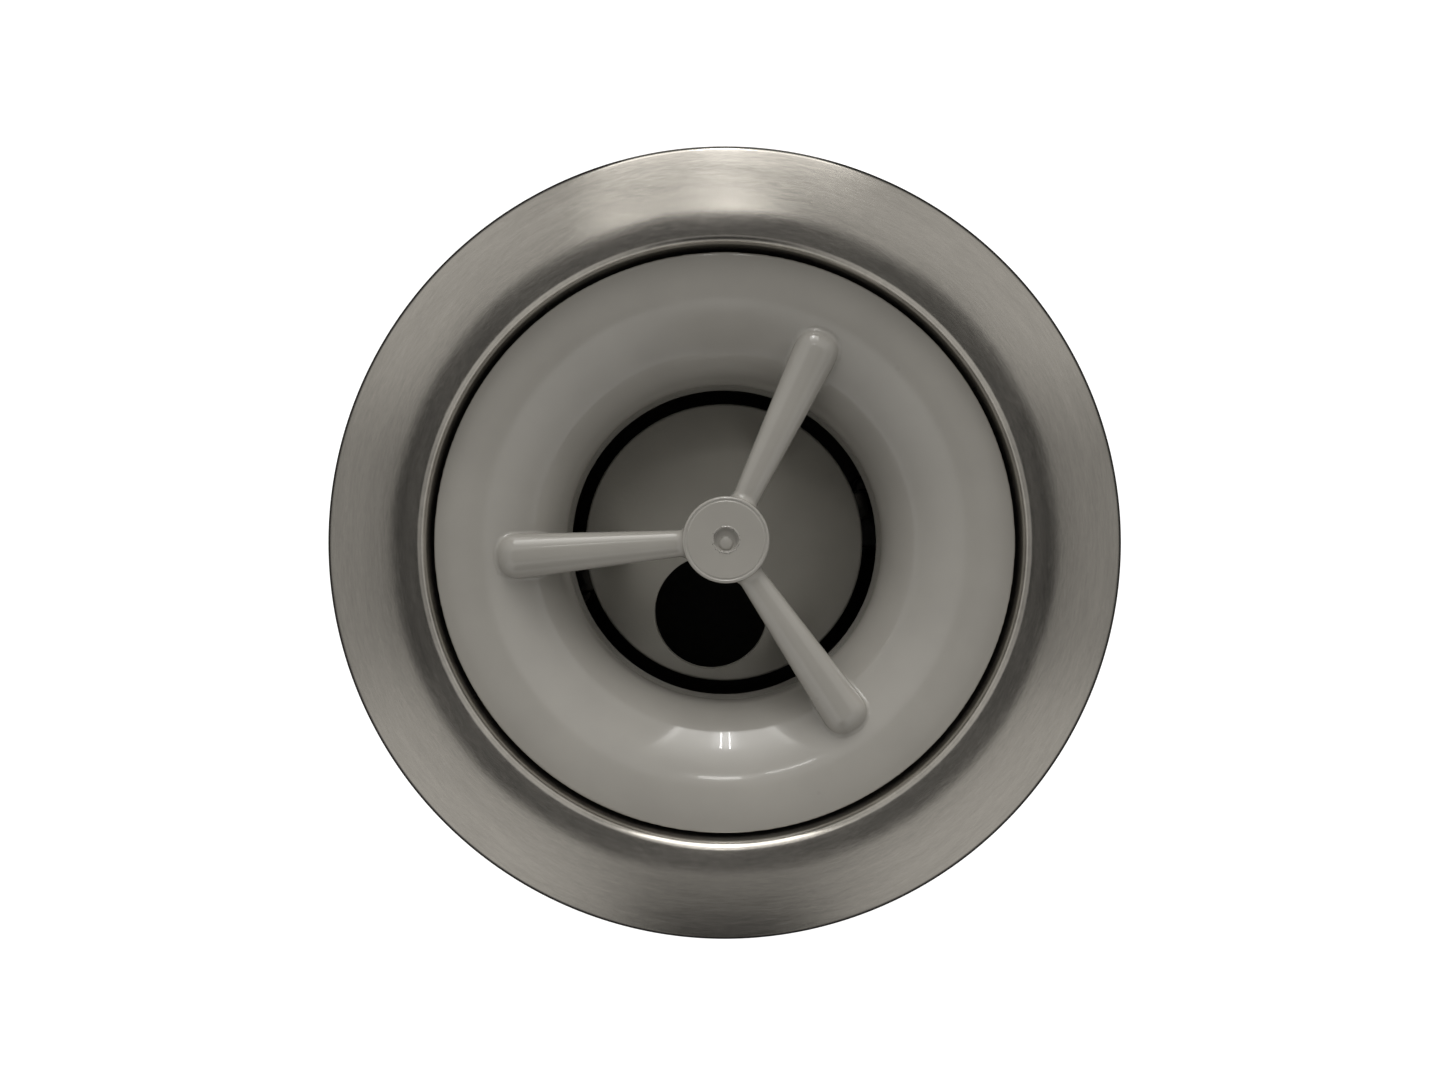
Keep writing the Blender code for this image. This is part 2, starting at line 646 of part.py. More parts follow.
def make_upper_end_frame():
    frame = turned(
        [
            (62.0 * MM, FRAME_TOP_Z),
            (BODY_FLANGE_R, FRAME_TOP_Z),
            (BODY_FLANGE_R, FRAME_TOP_Z - 4.5 * MM),
            (FRAME_R, FRAME_TOP_Z - 4.5 * MM),
            (FRAME_R, FRAME_BOTTOM_Z),
            (24.0 * MM, FRAME_BOTTOM_Z),
            (24.0 * MM, FRAME_BOTTOM_Z - 7.0 * MM),
            (17.8 * MM, FRAME_BOTTOM_Z - 7.0 * MM),
            (17.8 * MM, FRAME_BOTTOM_Z + 4.0 * MM),
            (12.3 * MM, FRAME_BOTTOM_Z + 4.0 * MM),
            (12.3 * MM, -172.0 * MM),
            (19.0 * MM, -172.0 * MM),
            (22.0 * MM, -180.0 * MM),
            (60.0 * MM, -182.5 * MM),
            (62.0 * MM, -180.0 * MM),
        ],
        LARGE,
    )
    outlet = rod(21.0 * MM, (64.0 * MM, 0, OUTLET_Z), (OUTLET_END_X, 0, OUTLET_Z))
    ears = box((13.0 * MM, 65.0 * MM, 15.0 * MM), (OUTLET_END_X - 6.5 * MM, 0.0, OUTLET_Z))
    join(frame, ears)
    join(frame, outlet)
    cut(frame, rod(OUTLET_BORE_R, (50.0 * MM, 0, OUTLET_Z), (80 * MM, 0, OUTLET_Z)))
    for side in (-1, 1):
        y = side * DISCHARGE_SCREW_Y
        cut(frame, rod(2.5 * MM + GAP, (65.0 * MM, y, OUTLET_Z), (80 * MM, y, OUTLET_Z), SMALL))
    for angle in BODY_SCREW_ANGLES:
        x, y = polar(BODY_SCREW_R, angle)
        cut(frame, rod(1.8 * MM + GAP, (x, y, FRAME_TOP_Z - 8 * MM), (x, y, -130 * MM), SMALL))
    for angle in THROUGH_BOLT_ANGLES:
        x, y = polar(THROUGH_BOLT_R, angle)
        hole_top = FRAME_BOTTOM_Z + 4.5 * MM
        cut(frame, rod(2.3 * MM + GAP, (x, y, FRAME_BOTTOM_Z - 5 * MM), (x, y, hole_top), SMALL))
    as_piece(frame, "upper_end_frame", CAST)

    gasket = ring(62.5 * MM, 65.2 * MM, FRAME_TOP_Z + GAP, HOPPER_BOTTOM_Z - GAP)
    as_piece(gasket, "chamber_gasket", RUBBER)

    for number, angle in enumerate(BODY_SCREW_ANGLES, 1):
        head_low = HOPPER_BOTTOM_Z + 5.0 * MM + GAP
        screw = turned(
            [
                (0.0, head_low + 2.4 * MM),
                (3.0 * MM, head_low + 2.4 * MM),
                (3.0 * MM, head_low),
                (1.8 * MM, head_low),
                (1.8 * MM, FRAME_TOP_Z - 4.0 * MM),
                (0.0, FRAME_TOP_Z - 4.0 * MM),
            ],
            SMALL,
            closed=False,
        )
        as_piece(moved(screw, *polar(BODY_SCREW_R, angle)), f"hopper_screw_{number}", ZINC)

    seal = ring(SHAFT_R + GAP, 12.0 * MM, FRAME_BOTTOM_Z + 4.5 * MM, -173.0 * MM, MEDIUM)
    as_piece(seal, "shaft_seal", RUBBER)
    bearing = ring(SHAFT_R + GAP, 17.5 * MM, FRAME_BOTTOM_Z - 6.5 * MM, FRAME_BOTTOM_Z + 3.7 * MM, MEDIUM)
    as_piece(bearing, "upper_bearing", STEEL)


def make_discharge():
    gasket_start = OUTLET_END_X + GAP
    lip_start = gasket_start + 2.0 * MM + GAP
    plate_start = lip_start + 1.8 * MM + GAP
    plate_end = plate_start + 2.0 * MM
    bend_x = plate_end + GAP

    gasket = rod(21.0 * MM, (gasket_start, 0, OUTLET_Z), (gasket_start + 2.0 * MM, 0, OUTLET_Z))
    cut(gasket, rod(OUTLET_BORE_R + 0.2 * MM, (60 * MM, 0, OUTLET_Z), (90 * MM, 0, OUTLET_Z)))
    as_piece(gasket, "discharge_gasket", RUBBER)

    bend_centre = (bend_x, OUTLET_Z - ELBOW_BEND_R)
    bend = [(x, 0.0, z) for x, z in arc(bend_centre, ELBOW_BEND_R, 90.0, 0.0, 8)]
    elbow_x = bend_x + ELBOW_BEND_R
    elbow = tube_along([(lip_start, 0.0, OUTLET_Z), *bend, (elbow_x, 0.0, ELBOW_END_Z)], PIPE_R)
    join(elbow, rod(21.5 * MM, (lip_start, 0, OUTLET_Z), (lip_start + 1.8 * MM, 0, OUTLET_Z)))
    core = [(lip_start - 6 * MM, 0.0, OUTLET_Z), *bend, (elbow_x, 0.0, ELBOW_END_Z - 6 * MM)]
    cut(elbow, tube_along(core, OUTLET_BORE_R))
    as_piece(elbow, "discharge_elbow", BLACK_PLASTIC)

    plate_size = (plate_end - plate_start, 66.0 * MM, 44.0 * MM)
    plate = box(plate_size, ((plate_start + plate_end) / 2, 0.0, OUTLET_Z))
    cut(plate, rod(PIPE_R + 0.6 * MM, (70 * MM, 0, OUTLET_Z), (90 * MM, 0, OUTLET_Z)))
    for number, side in enumerate((-1, 1), 1):
        y = side * DISCHARGE_SCREW_Y
        cut(plate, rod(2.5 * MM + GAP, (70 * MM, y, OUTLET_Z), (90 * MM, y, OUTLET_Z), SMALL))
        screw = rod(2.5 * MM, (66.0 * MM, y, OUTLET_Z), (plate_end + 1.5 * MM, y, OUTLET_Z), SMALL)
        head_start = plate_end + GAP
        join(screw, rod(4.4 * MM, (head_start, y, OUTLET_Z), (head_start + 3.4 * MM, y, OUTLET_Z), 6))
        as_piece(screw, f"discharge_screw_{number}", ZINC)
    as_piece(plate, "discharge_flange", ZINC)


def make_shells():
    inner = TRIM_R - 1.5 * MM
    trim = turned(
        [
            (HOPPER_R + HOPPER_WALL + 0.5 * MM, TRIM_TOP_Z),
            (TRIM_R - 2.0 * MM, TRIM_TOP_Z),
            (TRIM_R, TRIM_TOP_Z - 2.0 * MM),
            (TRIM_R, TRIM_BOTTOM_Z),
            (inner, TRIM_BOTTOM_Z),
            (inner, TRIM_TOP_Z - 3.0 * MM),
            (inner - 1.0 * MM, TRIM_TOP_Z - 1.5 * MM),
            (HOPPER_R + HOPPER_WALL + 0.5 * MM, TRIM_TOP_Z - 1.5 * MM),
        ],
        LARGE,
    )
    window = (40.0 * MM, 67.0 * MM, 46.0 * MM)
    cut(trim, box(window, (TRIM_R, 0.0, OUTLET_Z)))
    as_piece(trim, "trim_shell", TRIM_PAINT)

    liner = ring(FRAME_R + 0.4 * MM, inner - GAP, FRAME_BOTTOM_Z + MM, FRAME_TOP_Z - 4.8 * MM)
    cut(liner, box((40.0 * MM, 69.0 * MM, 80.0 * MM), (TRIM_R, 0.0, OUTLET_Z)))
    as_piece(liner, "sound_liner", FOAM)


# ---------------------------------------------------------------- motor


def make_motor():
    shaft = disc(SHAFT_R, SHAFT_BOTTOM_Z, SHAFT_TOP_Z)
    socket = rod(WRENCH_SOCKET_R, (0, 0, SHAFT_BOTTOM_Z - 5 * MM), (0, 0, SHAFT_BOTTOM_Z + 10 * MM), 6)
    as_piece(cut(shaft, socket), "motor_shaft", STEEL)

    rotor = ring(SHAFT_R + GAP, ROTOR_R, STATOR_BOTTOM_Z - 2 * MM, STATOR_TOP_Z + 2 * MM)
    as_piece(rotor, "rotor_core", CAST)

    housing = ring(
        HOUSING_R - HOUSING_WALL, HOUSING_R, HOUSING_BOTTOM_Z, FRAME_BOTTOM_Z - GAP
    )
    as_piece(housing, "motor_housing", HOUSING_PAINT)

    stator = ring(ROTOR_R + 0.6 * MM, HOUSING_R - HOUSING_WALL - GAP, STATOR_BOTTOM_Z, STATOR_TOP_Z)
    for angle in THROUGH_BOLT_ANGLES:
        x, y = polar(THROUGH_BOLT_R, angle)
        cut(stator, rod(2.3 * MM + GAP, (x, y, -280 * MM), (x, y, -200 * MM), SMALL))
    as_piece(stator, "stator_core", IRON)

    for name, low, high in (
        ("winding_upper", STATOR_TOP_Z + GAP, STATOR_TOP_Z + 11.5 * MM),
        ("winding_lower", STATOR_BOTTOM_Z - 11.5 * MM, STATOR_BOTTOM_Z - GAP),
    ):
        as_piece(smooth(wound_ring(low, high)), name, COPPER)

    for number, angle in enumerate(THROUGH_BOLT_ANGLES, 1):
        bolt = turned(
            [
                (0.0, FRAME_BOTTOM_Z + 4.0 * MM),
                (2.3 * MM, FRAME_BOTTOM_Z + 4.0 * MM),
                (2.3 * MM, BASE_Z + 6.0 * MM),
                (4.0 * MM, BASE_Z + 6.0 * MM),
                (4.0 * MM, BASE_Z + 2.0 * MM),
                (0.0, BASE_Z + 2.0 * MM),
            ],
            SMALL,
            closed=False,
        )
        as_piece(moved(bolt, *polar(THROUGH_BOLT_R, angle)), f"through_bolt_{number}", ZINC)


def wound_ring(low, high):
    """Coil ends: a ring of round-cornered section."""
    middle, half = (low + high) / 2, (high - low) / 2
    mid_r, half_r = 46.0 * MM, 8.5 * MM
    section = [
        (mid_r + half_r * cos(t), middle + half * sin(t))
        for t in (pi / 8 - i * tau / 8 for i in range(8))
    ]
    return turned(section, LARGE)


def make_lower_end_bell():
    top = HOUSING_BOTTOM_Z - GAP
    floor_top = BASE_Z + FLOOR_THICK
    boss_top = -303.0 * MM
    bell = turned(
        [
            (HOUSING_R - 3.0 * MM, top),
            (HOUSING_R, top),
            (HOUSING_R, BASE_Z + 4.0 * MM),
            (HOUSING_R - 4.0 * MM, BASE_Z),
            (9.0 * MM, BASE_Z),
            (9.0 * MM, -317.5 * MM),
            (15.3 * MM, -317.5 * MM),
            (15.3 * MM, boss_top),
            (20.0 * MM, boss_top),
            (20.0 * MM, floor_top),
            (HOUSING_R - 3.0 * MM, floor_top),
        ],
        LARGE,
    )
    for angle in THROUGH_BOLT_ANGLES:
        x, y = polar(THROUGH_BOLT_R, angle)
        join(bell, rod(5.8 * MM, (x, y, BASE_Z + 1.0 * MM), (x, y, top - MM), SMALL))
        cut(bell, rod(2.3 * MM + GAP, (x, y, -345 * MM), (x, y, -290 * MM), SMALL))
        cut(bell, rod(4.0 * MM + GAP, (x, y, -345 * MM), (x, y, BASE_Z + 6.3 * MM), SMALL))
    x, y = RESET_XY
    cut(bell, rod(4.3 * MM, (x, y, -345 * MM), (x, y, -325 * MM), SMALL))
    cut(bell, box((40.0 * MM, 26.0 * MM, 20.0 * MM), (0.0, 42.0 * MM, BASE_Z)))
    cut(bell, rod(6.3 * MM, (-55.0 * MM, 0, GLAND_Z), (-75 * MM, 0, GLAND_Z)))
    as_piece(bell, "lower_end_bell", HOUSING_PAINT)

    bearing = ring(SHAFT_R + GAP, 15.0 * MM, -317.2 * MM, boss_top - MM, MEDIUM)
    as_piece(bearing, "lower_bearing", STEEL)

    actuator = turned(
        [
            (SHAFT_R + GAP, -282.0 * MM),
            (14.0 * MM, -282.0 * MM),
            (14.0 * MM, -285.0 * MM),
            (10.0 * MM, -285.0 * MM),
            (10.0 * MM, -291.0 * MM),
            (16.0 * MM, -291.0 * MM),
            (16.0 * MM, -294.0 * MM),
            (SHAFT_R + GAP, -294.0 * MM),
        ],
        MEDIUM,
    )
    as_piece(actuator, "start_actuator", BLACK_PLASTIC)

    switch_low = floor_top + GAP
    switch = box((14.0 * MM, 18.0 * MM, 26.0 * MM), (-32.0 * MM, 0.0, switch_low + 13.0 * MM))
    as_piece(switch, "start_switch", BLACK_PLASTIC)

    protector = rod(12.0 * MM, (x, y, floor_top + GAP), (x, y, floor_top + 15.0 * MM))
    cut(protector, rod(4.3 * MM, (x, y, BASE_Z), (x, y, floor_top + 10.0 * MM), SMALL))
    as_piece(protector, "overload_protector", BLACK_PLASTIC)

    button = disc(4.0 * MM, BASE_Z + 0.8 * MM, floor_top + 7.0 * MM, SMALL)
    as_piece(moved(button, x, y), "reset_button", RED)

    plate_low, plate_high = BASE_Z + 0.4 * MM, BASE_Z + FLOOR_THICK - 0.2 * MM
    screw_y = 49.0 * MM
    size = (40.0 * MM - 2 * GAP, 26.0 * MM - 2 * GAP, plate_high - plate_low)
    plate = box(size, (0.0, 42.0 * MM, (plate_low + plate_high) / 2))
    cut(plate, rod(2.0 * MM + GAP, (0, screw_y, -345 * MM), (0, screw_y, -325 * MM), SMALL))
    cut(plate, rod(4.0 * MM, (0, screw_y, -345 * MM), (0, screw_y, BASE_Z + 2.3 * MM), SMALL))
    as_piece(plate, "wiring_cover", ZINC)
    screw = turned(
        [
            (0.0, plate_high + 6.0 * MM),
            (2.0 * MM, plate_high + 6.0 * MM),
            (2.0 * MM, BASE_Z + 2.0 * MM),
            (3.7 * MM, BASE_Z + 2.0 * MM),
            (3.7 * MM, BASE_Z + 0.7 * MM),
            (0.0, BASE_Z + 0.7 * MM),
        ],
        SMALL,
        closed=False,
    )
    as_piece(moved(screw, 0.0, screw_y), "wiring_screw", ZINC)

    gland = rod(6.0 * MM, (-61.0 * MM, 0, GLAND_Z), (-70.0 * MM, 0, GLAND_Z))
    join(gland, rod(9.5 * MM, (-HOUSING_R - GAP, 0, GLAND_Z), (-HOUSING_R - 7 * MM, 0, GLAND_Z), 6))
    join(gland, rod(7.0 * MM, (-HOUSING_R - 6 * MM, 0, GLAND_Z), (-HOUSING_R - 12 * MM, 0, GLAND_Z)))
    cut(gland, rod(4.5 * MM, (-55.0 * MM, 0, GLAND_Z), (-HOUSING_R - 20 * MM, 0, GLAND_Z), 16))
    as_piece(gland, "cable_gland", BLACK_PLASTIC)


clear_scene()
PARTS = new_collection("garbage_disposal")
CUTTERS = new_collection("cutters")
make_sink_flange()
make_feed_cover()
make_cover_baffle()
make_switch_sleeve()
make_mounting()
make_hopper()
make_shredder_ring()
make_turntable()
make_upper_end_frame()
make_discharge()
make_shells()
make_motor()
make_lower_end_bell()
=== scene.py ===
"""The looks of the batch-feed garbage disposer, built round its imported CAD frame.

Lengths are in metres in the frame's own axes: +Z up out of the sink, +X towards the discharge
elbow, and z = 0 on the sink surface that the flange's rim rests on.
"""

import json
from math import cos, pi, radians, sin, sqrt, tau

import bmesh
import bpy
import numpy as np
from mathutils import Matrix, Vector


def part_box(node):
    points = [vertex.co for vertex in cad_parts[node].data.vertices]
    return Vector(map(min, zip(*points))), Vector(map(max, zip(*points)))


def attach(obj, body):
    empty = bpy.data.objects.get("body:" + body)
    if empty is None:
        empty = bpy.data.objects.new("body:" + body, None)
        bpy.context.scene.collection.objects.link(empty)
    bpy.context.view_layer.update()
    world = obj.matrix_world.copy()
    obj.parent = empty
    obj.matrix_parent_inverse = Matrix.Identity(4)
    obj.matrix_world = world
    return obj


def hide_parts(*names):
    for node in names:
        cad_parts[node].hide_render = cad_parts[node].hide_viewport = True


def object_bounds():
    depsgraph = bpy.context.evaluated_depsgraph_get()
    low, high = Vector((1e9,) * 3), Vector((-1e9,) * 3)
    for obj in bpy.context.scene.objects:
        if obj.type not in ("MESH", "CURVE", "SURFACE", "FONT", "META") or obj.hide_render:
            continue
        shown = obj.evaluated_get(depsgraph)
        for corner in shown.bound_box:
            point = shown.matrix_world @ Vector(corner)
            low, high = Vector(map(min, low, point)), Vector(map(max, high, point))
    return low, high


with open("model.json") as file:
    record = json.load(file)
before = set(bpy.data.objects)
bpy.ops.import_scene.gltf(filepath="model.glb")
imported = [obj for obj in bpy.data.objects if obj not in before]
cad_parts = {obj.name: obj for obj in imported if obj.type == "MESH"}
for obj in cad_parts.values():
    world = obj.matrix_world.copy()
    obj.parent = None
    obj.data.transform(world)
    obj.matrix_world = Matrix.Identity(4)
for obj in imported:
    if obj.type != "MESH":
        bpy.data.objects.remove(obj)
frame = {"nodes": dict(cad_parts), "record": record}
cad_box = [list(corner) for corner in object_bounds()]

MM = 0.001
ROUND = 192  # sides of a large round piece
RIM = 320  # of the sink flange
SHELL = 256  # of the shells round the motor
FINE = 96  # of a pipe
SMALL = 48  # of a screw

# Places that several pieces share; angles are in degrees round Z from +X.
BASE_Z = cad_box[0][2]
ARM_ANGLES = (64.5, 184.5, 304.5)  # the cover's three arms
NOTCH_ANGLES = (34.5, 124.5, 214.5, 304.5)  # the sleeve's notches and the cover's lugs in them
HOOK_ANGLES = (30.0, 150.0, 270.0)
REED_ANGLE = 139.5
BOLT_ANGLES = (45.0, 135.0, 225.0, 315.0)  # the hopper's screws and the motor's long bolts
LUG_ANGLES = (3.75, 183.75)  # the impellers' pins
MOUNT_SCREW_R = 0.0555
HOPPER_SCREW_R = 0.0679
THROUGH_BOLT_R = 0.0600
IMPELLER_PIN_R = 0.0380
INLET_Z = -0.1080  # the dishwasher inlet
OUTLET_Z = -0.1650  # the drain outlet
CLAMP_SCREW_Y = 0.0260  # its two clamp screws
GLAND_Z = -0.3150
RESET_Y = -0.0420
WIRING_Y = 0.0420
WIRING_SCREW_Y = 0.0490

# The feed cover's bell mouth: a level face, a wide arc, a tighter arc and a straight throat.
COVER_R = 0.04235
COVER_FACE_Z = -0.00115
COVER_WALL = 0.0020
BELL_R = 0.0188
BELL_CENTRE_R = 0.0412
BELL_TURN = radians(55.0)  # how far the wide arc turns
THROAT_R = 0.0245
THROAT_END_Z = -0.0200

# Its grip: the hub stands a little off the Z axis, and the arms widen outwards.
GRIP_X, GRIP_Y = 0.0002, 0.0004
HUB_R, HUB_LOW, HUB_HIGH = 0.00632, -0.0110, -0.0002
HUB_GROOVE_R = 0.00575
DIMPLE_R, DIMPLE_FLOOR = 0.00175, -0.00105
ARM_START, ARM_END = 0.0040, 0.0309
ARM_ROOT_R, ARM_TIP_R = 0.00182, 0.00335
ARM_POWER = 2.4  # 2 would make an arm round; more squares its shoulders

# The sink flange's pressed sheet; its slopes turn from one angle to the next, outwards positive.
CREST_R, CREST_Z = 0.0468, 0.0021
CREST_CURVE, BAND_CURVE, EDGE_CURVE = 0.0140, 0.0770, 0.0010
SHOULDER_SLOPE, ROLL_SLOPE = -11.0, -90.0
CROWN_SLOPE, BAND_SLOPE, EDGE_SLOPE = 5.3, 11.6, 44.0
# Outside this radius the flange's colour is darkened: a painted shadow line along the rim's outer edge.
PAINTED_RIM_SHADE_R = 0.05655  # the sheet is dark outside this

# The camera stands above the flange's highest point.
CAMERA_X, CAMERA_Y, CAMERA_HEIGHT = -0.0006, 0.0003, 0.160
CAMERA_LENS = 28.02  # in millimetres, on a sensor 36 mm wide

# The room's light: each fade is (where it starts, where it ends, level before, level after).
WARM = (1.0, 0.985, 0.955)
OVERHEAD_SQUASH = 0.76
OVERHEAD = (0.095, 0.17, 0.03, 1.0)
HORIZON_RISE = (0.0, 0.08, 0.03, 0.84)
HORIZON_FALL = (0.14, 0.42, 0.0, -0.56)
CEILING_RISE = (0.45, 0.80, 0.0, 0.15)
CORNER_SPREAD = (0.04, 0.22, 0.0, 0.24)
CORNER_HEIGHT = (0.08, 0.45, 0.0, 1.0)
BACK_Y, BACK_SQUASH = 0.74, 1.6
BACK = (0.005, 0.10, 0.06, 1.0)
WINDOW_TILT = radians(54.0)  # from straight above, towards +Y
WINDOW_LIGHT = (-0.42, 0.36, 0.10, 3.2)
PANE_SIDES = (0.270, 0.285, 1.0, 0.0)
PANE_FOOT = (0.655, 0.672, 1.0, 0.0)
FRAME_SIDES = (0.225, 0.262, 0.0, 2.4)
FRAME_HEIGHT = (-0.20, 0.15, 0.0, 1.0)


# ---- camera

def make_camera():
    """Straight above the flange, close, as a hand-held camera looking down into the sink."""
    top_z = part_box("sink_flange")[1].z
    data = bpy.data.cameras.new("camera")
    data.sensor_width = 36.0
    data.lens = CAMERA_LENS
    data.clip_start, data.clip_end = 0.01, 20.0
    made = bpy.data.objects.new("camera", data)
    bpy.context.scene.collection.objects.link(made)
    made.location = (CAMERA_X, CAMERA_Y, top_z + CAMERA_HEIGHT)
    bpy.context.scene.camera = made


# ---- materials

class Tree:
    """Adds and wires the nodes of a material or of the world."""

    def __init__(self, owner):
        owner.use_nodes = True
        self.tree = owner.node_tree

    def set(self, node, inputs):
        for key, value in inputs.items():
            if isinstance(value, bpy.types.NodeSocket):
                self.tree.links.new(value, node.inputs[key])
            else:
                node.inputs[key].default_value = value

    def add(self, kind, inputs=None, **settings):
        node = self.tree.nodes.new(kind)
        for key, value in settings.items():
            setattr(node, key, value)
        self.set(node, inputs or {})
        return node

    def maths(self, operation, a, b=0.0):
        return self.add("ShaderNodeMath", {0: a, 1: b}, operation=operation).outputs[0]

    def times(self, *values):
        product = values[0]
        for value in values[1:]:
            product = self.maths("MULTIPLY", product, value)
        return product

    def fade(self, value, low, high, low_level, high_level):
        """Goes smoothly from one level to another as the value passes from low to high."""
        inputs = {"Value": value, "From Min": low, "From Max": high,
                  "To Min": low_level, "To Max": high_level}
        return self.add("ShaderNodeMapRange", inputs, interpolation_type="SMOOTHSTEP").outputs[0]


class Nodes(Tree):
    """A material of one shader, with patterns in the object's own coordinates."""

    def __init__(self, name, colour, roughness, metallic=0.0):
        self.material = bpy.data.materials.new(name)
        super().__init__(self.material)
        self.shader = self.tree.nodes["Principled BSDF"]
        self.colour, self.roughness = colour, roughness
        self.set(self.shader, {"Base Color": (*colour, 1.0), "Roughness": roughness, "Metallic": metallic})
        self.place = self.add("ShaderNodeTexCoord").outputs["Object"]

    def noise(self, scale, detail=3.0, where=None, roughness=0.55):
        inputs = {"Vector": where or self.place, "Scale": scale, "Detail": detail, "Roughness": roughness}
        return self.add("ShaderNodeTexNoise", inputs).outputs["Fac"]

    def cells(self, scale, feature="F1"):
        inputs = {"Vector": self.place, "Scale": scale}
        return self.add("ShaderNodeTexVoronoi", inputs, feature=feature).outputs["Distance"]

    def stretch(self, x, y, z):
        inputs = {0: self.place, 1: (x, y, z)}
        return self.add("ShaderNodeVectorMath", inputs, operation="MULTIPLY").outputs[0]

    def round_axis(self, around, across):
        """Coordinates that change slowly round Z and fast across it, for turned or brushed marks."""
        x, y, z = self.add("ShaderNodeSeparateXYZ", {0: self.place}).outputs
        radius = self.maths("SQRT", self.maths("ADD", self.times(x, x), self.times(y, y)))
        safe = self.maths("MAXIMUM", radius, 0.0001)
        joined = self.add("ShaderNodeCombineXYZ", {
            0: self.times(self.maths("DIVIDE", x, safe), around),
            1: self.times(self.maths("DIVIDE", y, safe), around),
            2: self.times(self.maths("SUBTRACT", radius, z), across),
        })
        return joined.outputs[0]

    def between(self, value, low, high):
        """Maps 0.3 to 0.7, where most of a noise lies, onto low to high."""
        inputs = {"Value": value, "From Min": 0.3, "From Max": 0.7, "To Min": low, "To Max": high}
        return self.add("ShaderNodeMapRange", inputs).outputs[0]

    def tint(self, value, darker, lighter):
        """Base colour that varies between two multiples of the piece's own colour."""
        ramp = self.add("ShaderNodeValToRGB", {0: value})
        for stop, share in zip(ramp.color_ramp.elements, (darker, lighter)):
            stop.color = (*(min(1.0, part * share) for part in self.colour), 1.0)
        ramp.color_ramp.elements[0].position, ramp.color_ramp.elements[1].position = 0.3, 0.7
        self.set(self.shader, {"Base Color": ramp.outputs[0]})
        return ramp.outputs[0]

    def rough(self, value, spread):
        low, high = max(0.03, self.roughness - spread), self.roughness + spread
        self.set(self.shader, {"Roughness": self.between(value, low, high)})

    def bump(self, value, depth, strength=1.0):
        """A bump of depth metres; a second call rides on the first."""
        inputs = {"Height": value, "Strength": strength, "Distance": depth}
        linked = self.shader.inputs["Normal"].links
        if linked:
            inputs["Normal"] = linked[0].from_socket
        self.set(self.shader, {"Normal": self.add("ShaderNodeBump", inputs).outputs[0]})


def brushed_round(name, colour, roughness, anisotropy, spread=0.07, shade_r=None):
    """Steel brushed round the Z axis. Where a radius is given last, the colour is darkened outside it as a
    painted shadow line along a rim's edge.
    """
    n = Nodes(name, colour, roughness, 1.0)
    n.set(n.shader, {"Anisotropic": anisotropy, "Anisotropic Rotation": 0.25})
    tangent = n.add("ShaderNodeTangent", direction_type="RADIAL", axis="Z")
    n.set(n.shader, {"Tangent": tangent.outputs[0]})
    streaks = n.noise(1.0, 5.0, n.round_axis(24.0, 2800.0), 0.8)
    broad = n.noise(1.0, 2.0, n.round_axis(4.0, 600.0))
    both = n.maths("ADD", n.times(streaks, 0.65), n.times(broad, 0.35))
    n.rough(both, spread)
    steel = n.tint(both, 0.80, 1.13)
    # Painted shade: outside the radius the base colour drops to 8 %, a dark line standing in for the shadow
    # at the rim's edge.
    if shade_r:
        flat = n.stretch(1.0, 1.0, 0.0)
        radius = n.add("ShaderNodeVectorMath", {0: flat}, operation="LENGTH").outputs["Value"]
        rim_shade = n.fade(radius, shade_r, shade_r + 0.3 * MM, 1.0, 0.08)
        shaded_steel = n.add("ShaderNodeVectorMath", {0: steel, "Scale": rim_shade}, operation="SCALE").outputs[0]
        n.set(n.shader, {"Base Color": shaded_steel})
    n.bump(streaks, 0.000012, 0.8)
    return n.material


def glossy_plastic(name, colour, roughness):
    """Glossy warm-grey moulding with a faint ripple, handling haze and a few dark specks."""
    n = Nodes(name, colour, roughness)
    n.set(n.shader, {"Coat Weight": 0.40, "Coat Roughness": 0.02, "Specular IOR Level": 0.5})
    haze = n.noise(55.0, 4.0)
    specks = n.maths("LESS_THAN", n.cells(90.0), 0.035)
    worn = n.maths("SUBTRACT", haze, n.times(specks, 0.25))
    n.tint(worn, 0.93, 1.05)
    n.rough(n.noise(160.0, 5.0), 0.05)
    n.bump(n.noise(70.0, 2.0), 0.00006, 0.35)
    n.bump(n.noise(900.0, 2.0), 0.000006, 0.3)
    return n.material


def plain(name, colour, roughness, clouds, scuffs, grain, metallic=0.0, shader=None):
    """A surface of noise alone: clouds of tint (scale, detail, darker, lighter), scuffs of roughness
    (scale, detail, spread) and a grain of bumps (scale, detail, depth, strength)."""
    n = Nodes(name, colour, roughness, metallic)
    n.set(n.shader, shader or {})
    n.tint(n.noise(*clouds[:2]), *clouds[2:])
    n.rough(n.noise(*scuffs[:2]), scuffs[2])
    n.bump(n.noise(*grain[:2]), *grain[2:])
    return n.material


def matte_plastic(name, colour, roughness, grain=2200.0, depth=0.00002, cloud=60.0):
    clouds, scuffs = (cloud, 4.0, 0.86, 1.12), (cloud * 3.0, 3.0, 0.05)
    return plain(name, colour, roughness, clouds, scuffs, (grain, 3.0, depth, 0.6))


def leather_grain(name, colour, roughness):
    """Moulded shell with a pebbled grain."""
    n = Nodes(name, colour, roughness)
    n.tint(n.noise(35.0, 4.0), 0.93, 1.06)
    n.rough(n.noise(220.0, 3.0), 0.06)
    n.bump(n.cells(620.0, "SMOOTH_F1"), 0.00012, 0.55)
    n.bump(n.noise(2600.0, 2.0), 0.00001, 0.4)
    return n.material


def powder_coat(name, colour, roughness):
    return plain(name, colour, roughness, (45.0, 4.0, 0.80, 1.2), (120.0, 4.0, 0.07),
                 (750.0, 2.0, 0.00007, 0.55), shader={"Coat Weight": 0.2, "Coat Roughness": 0.25})


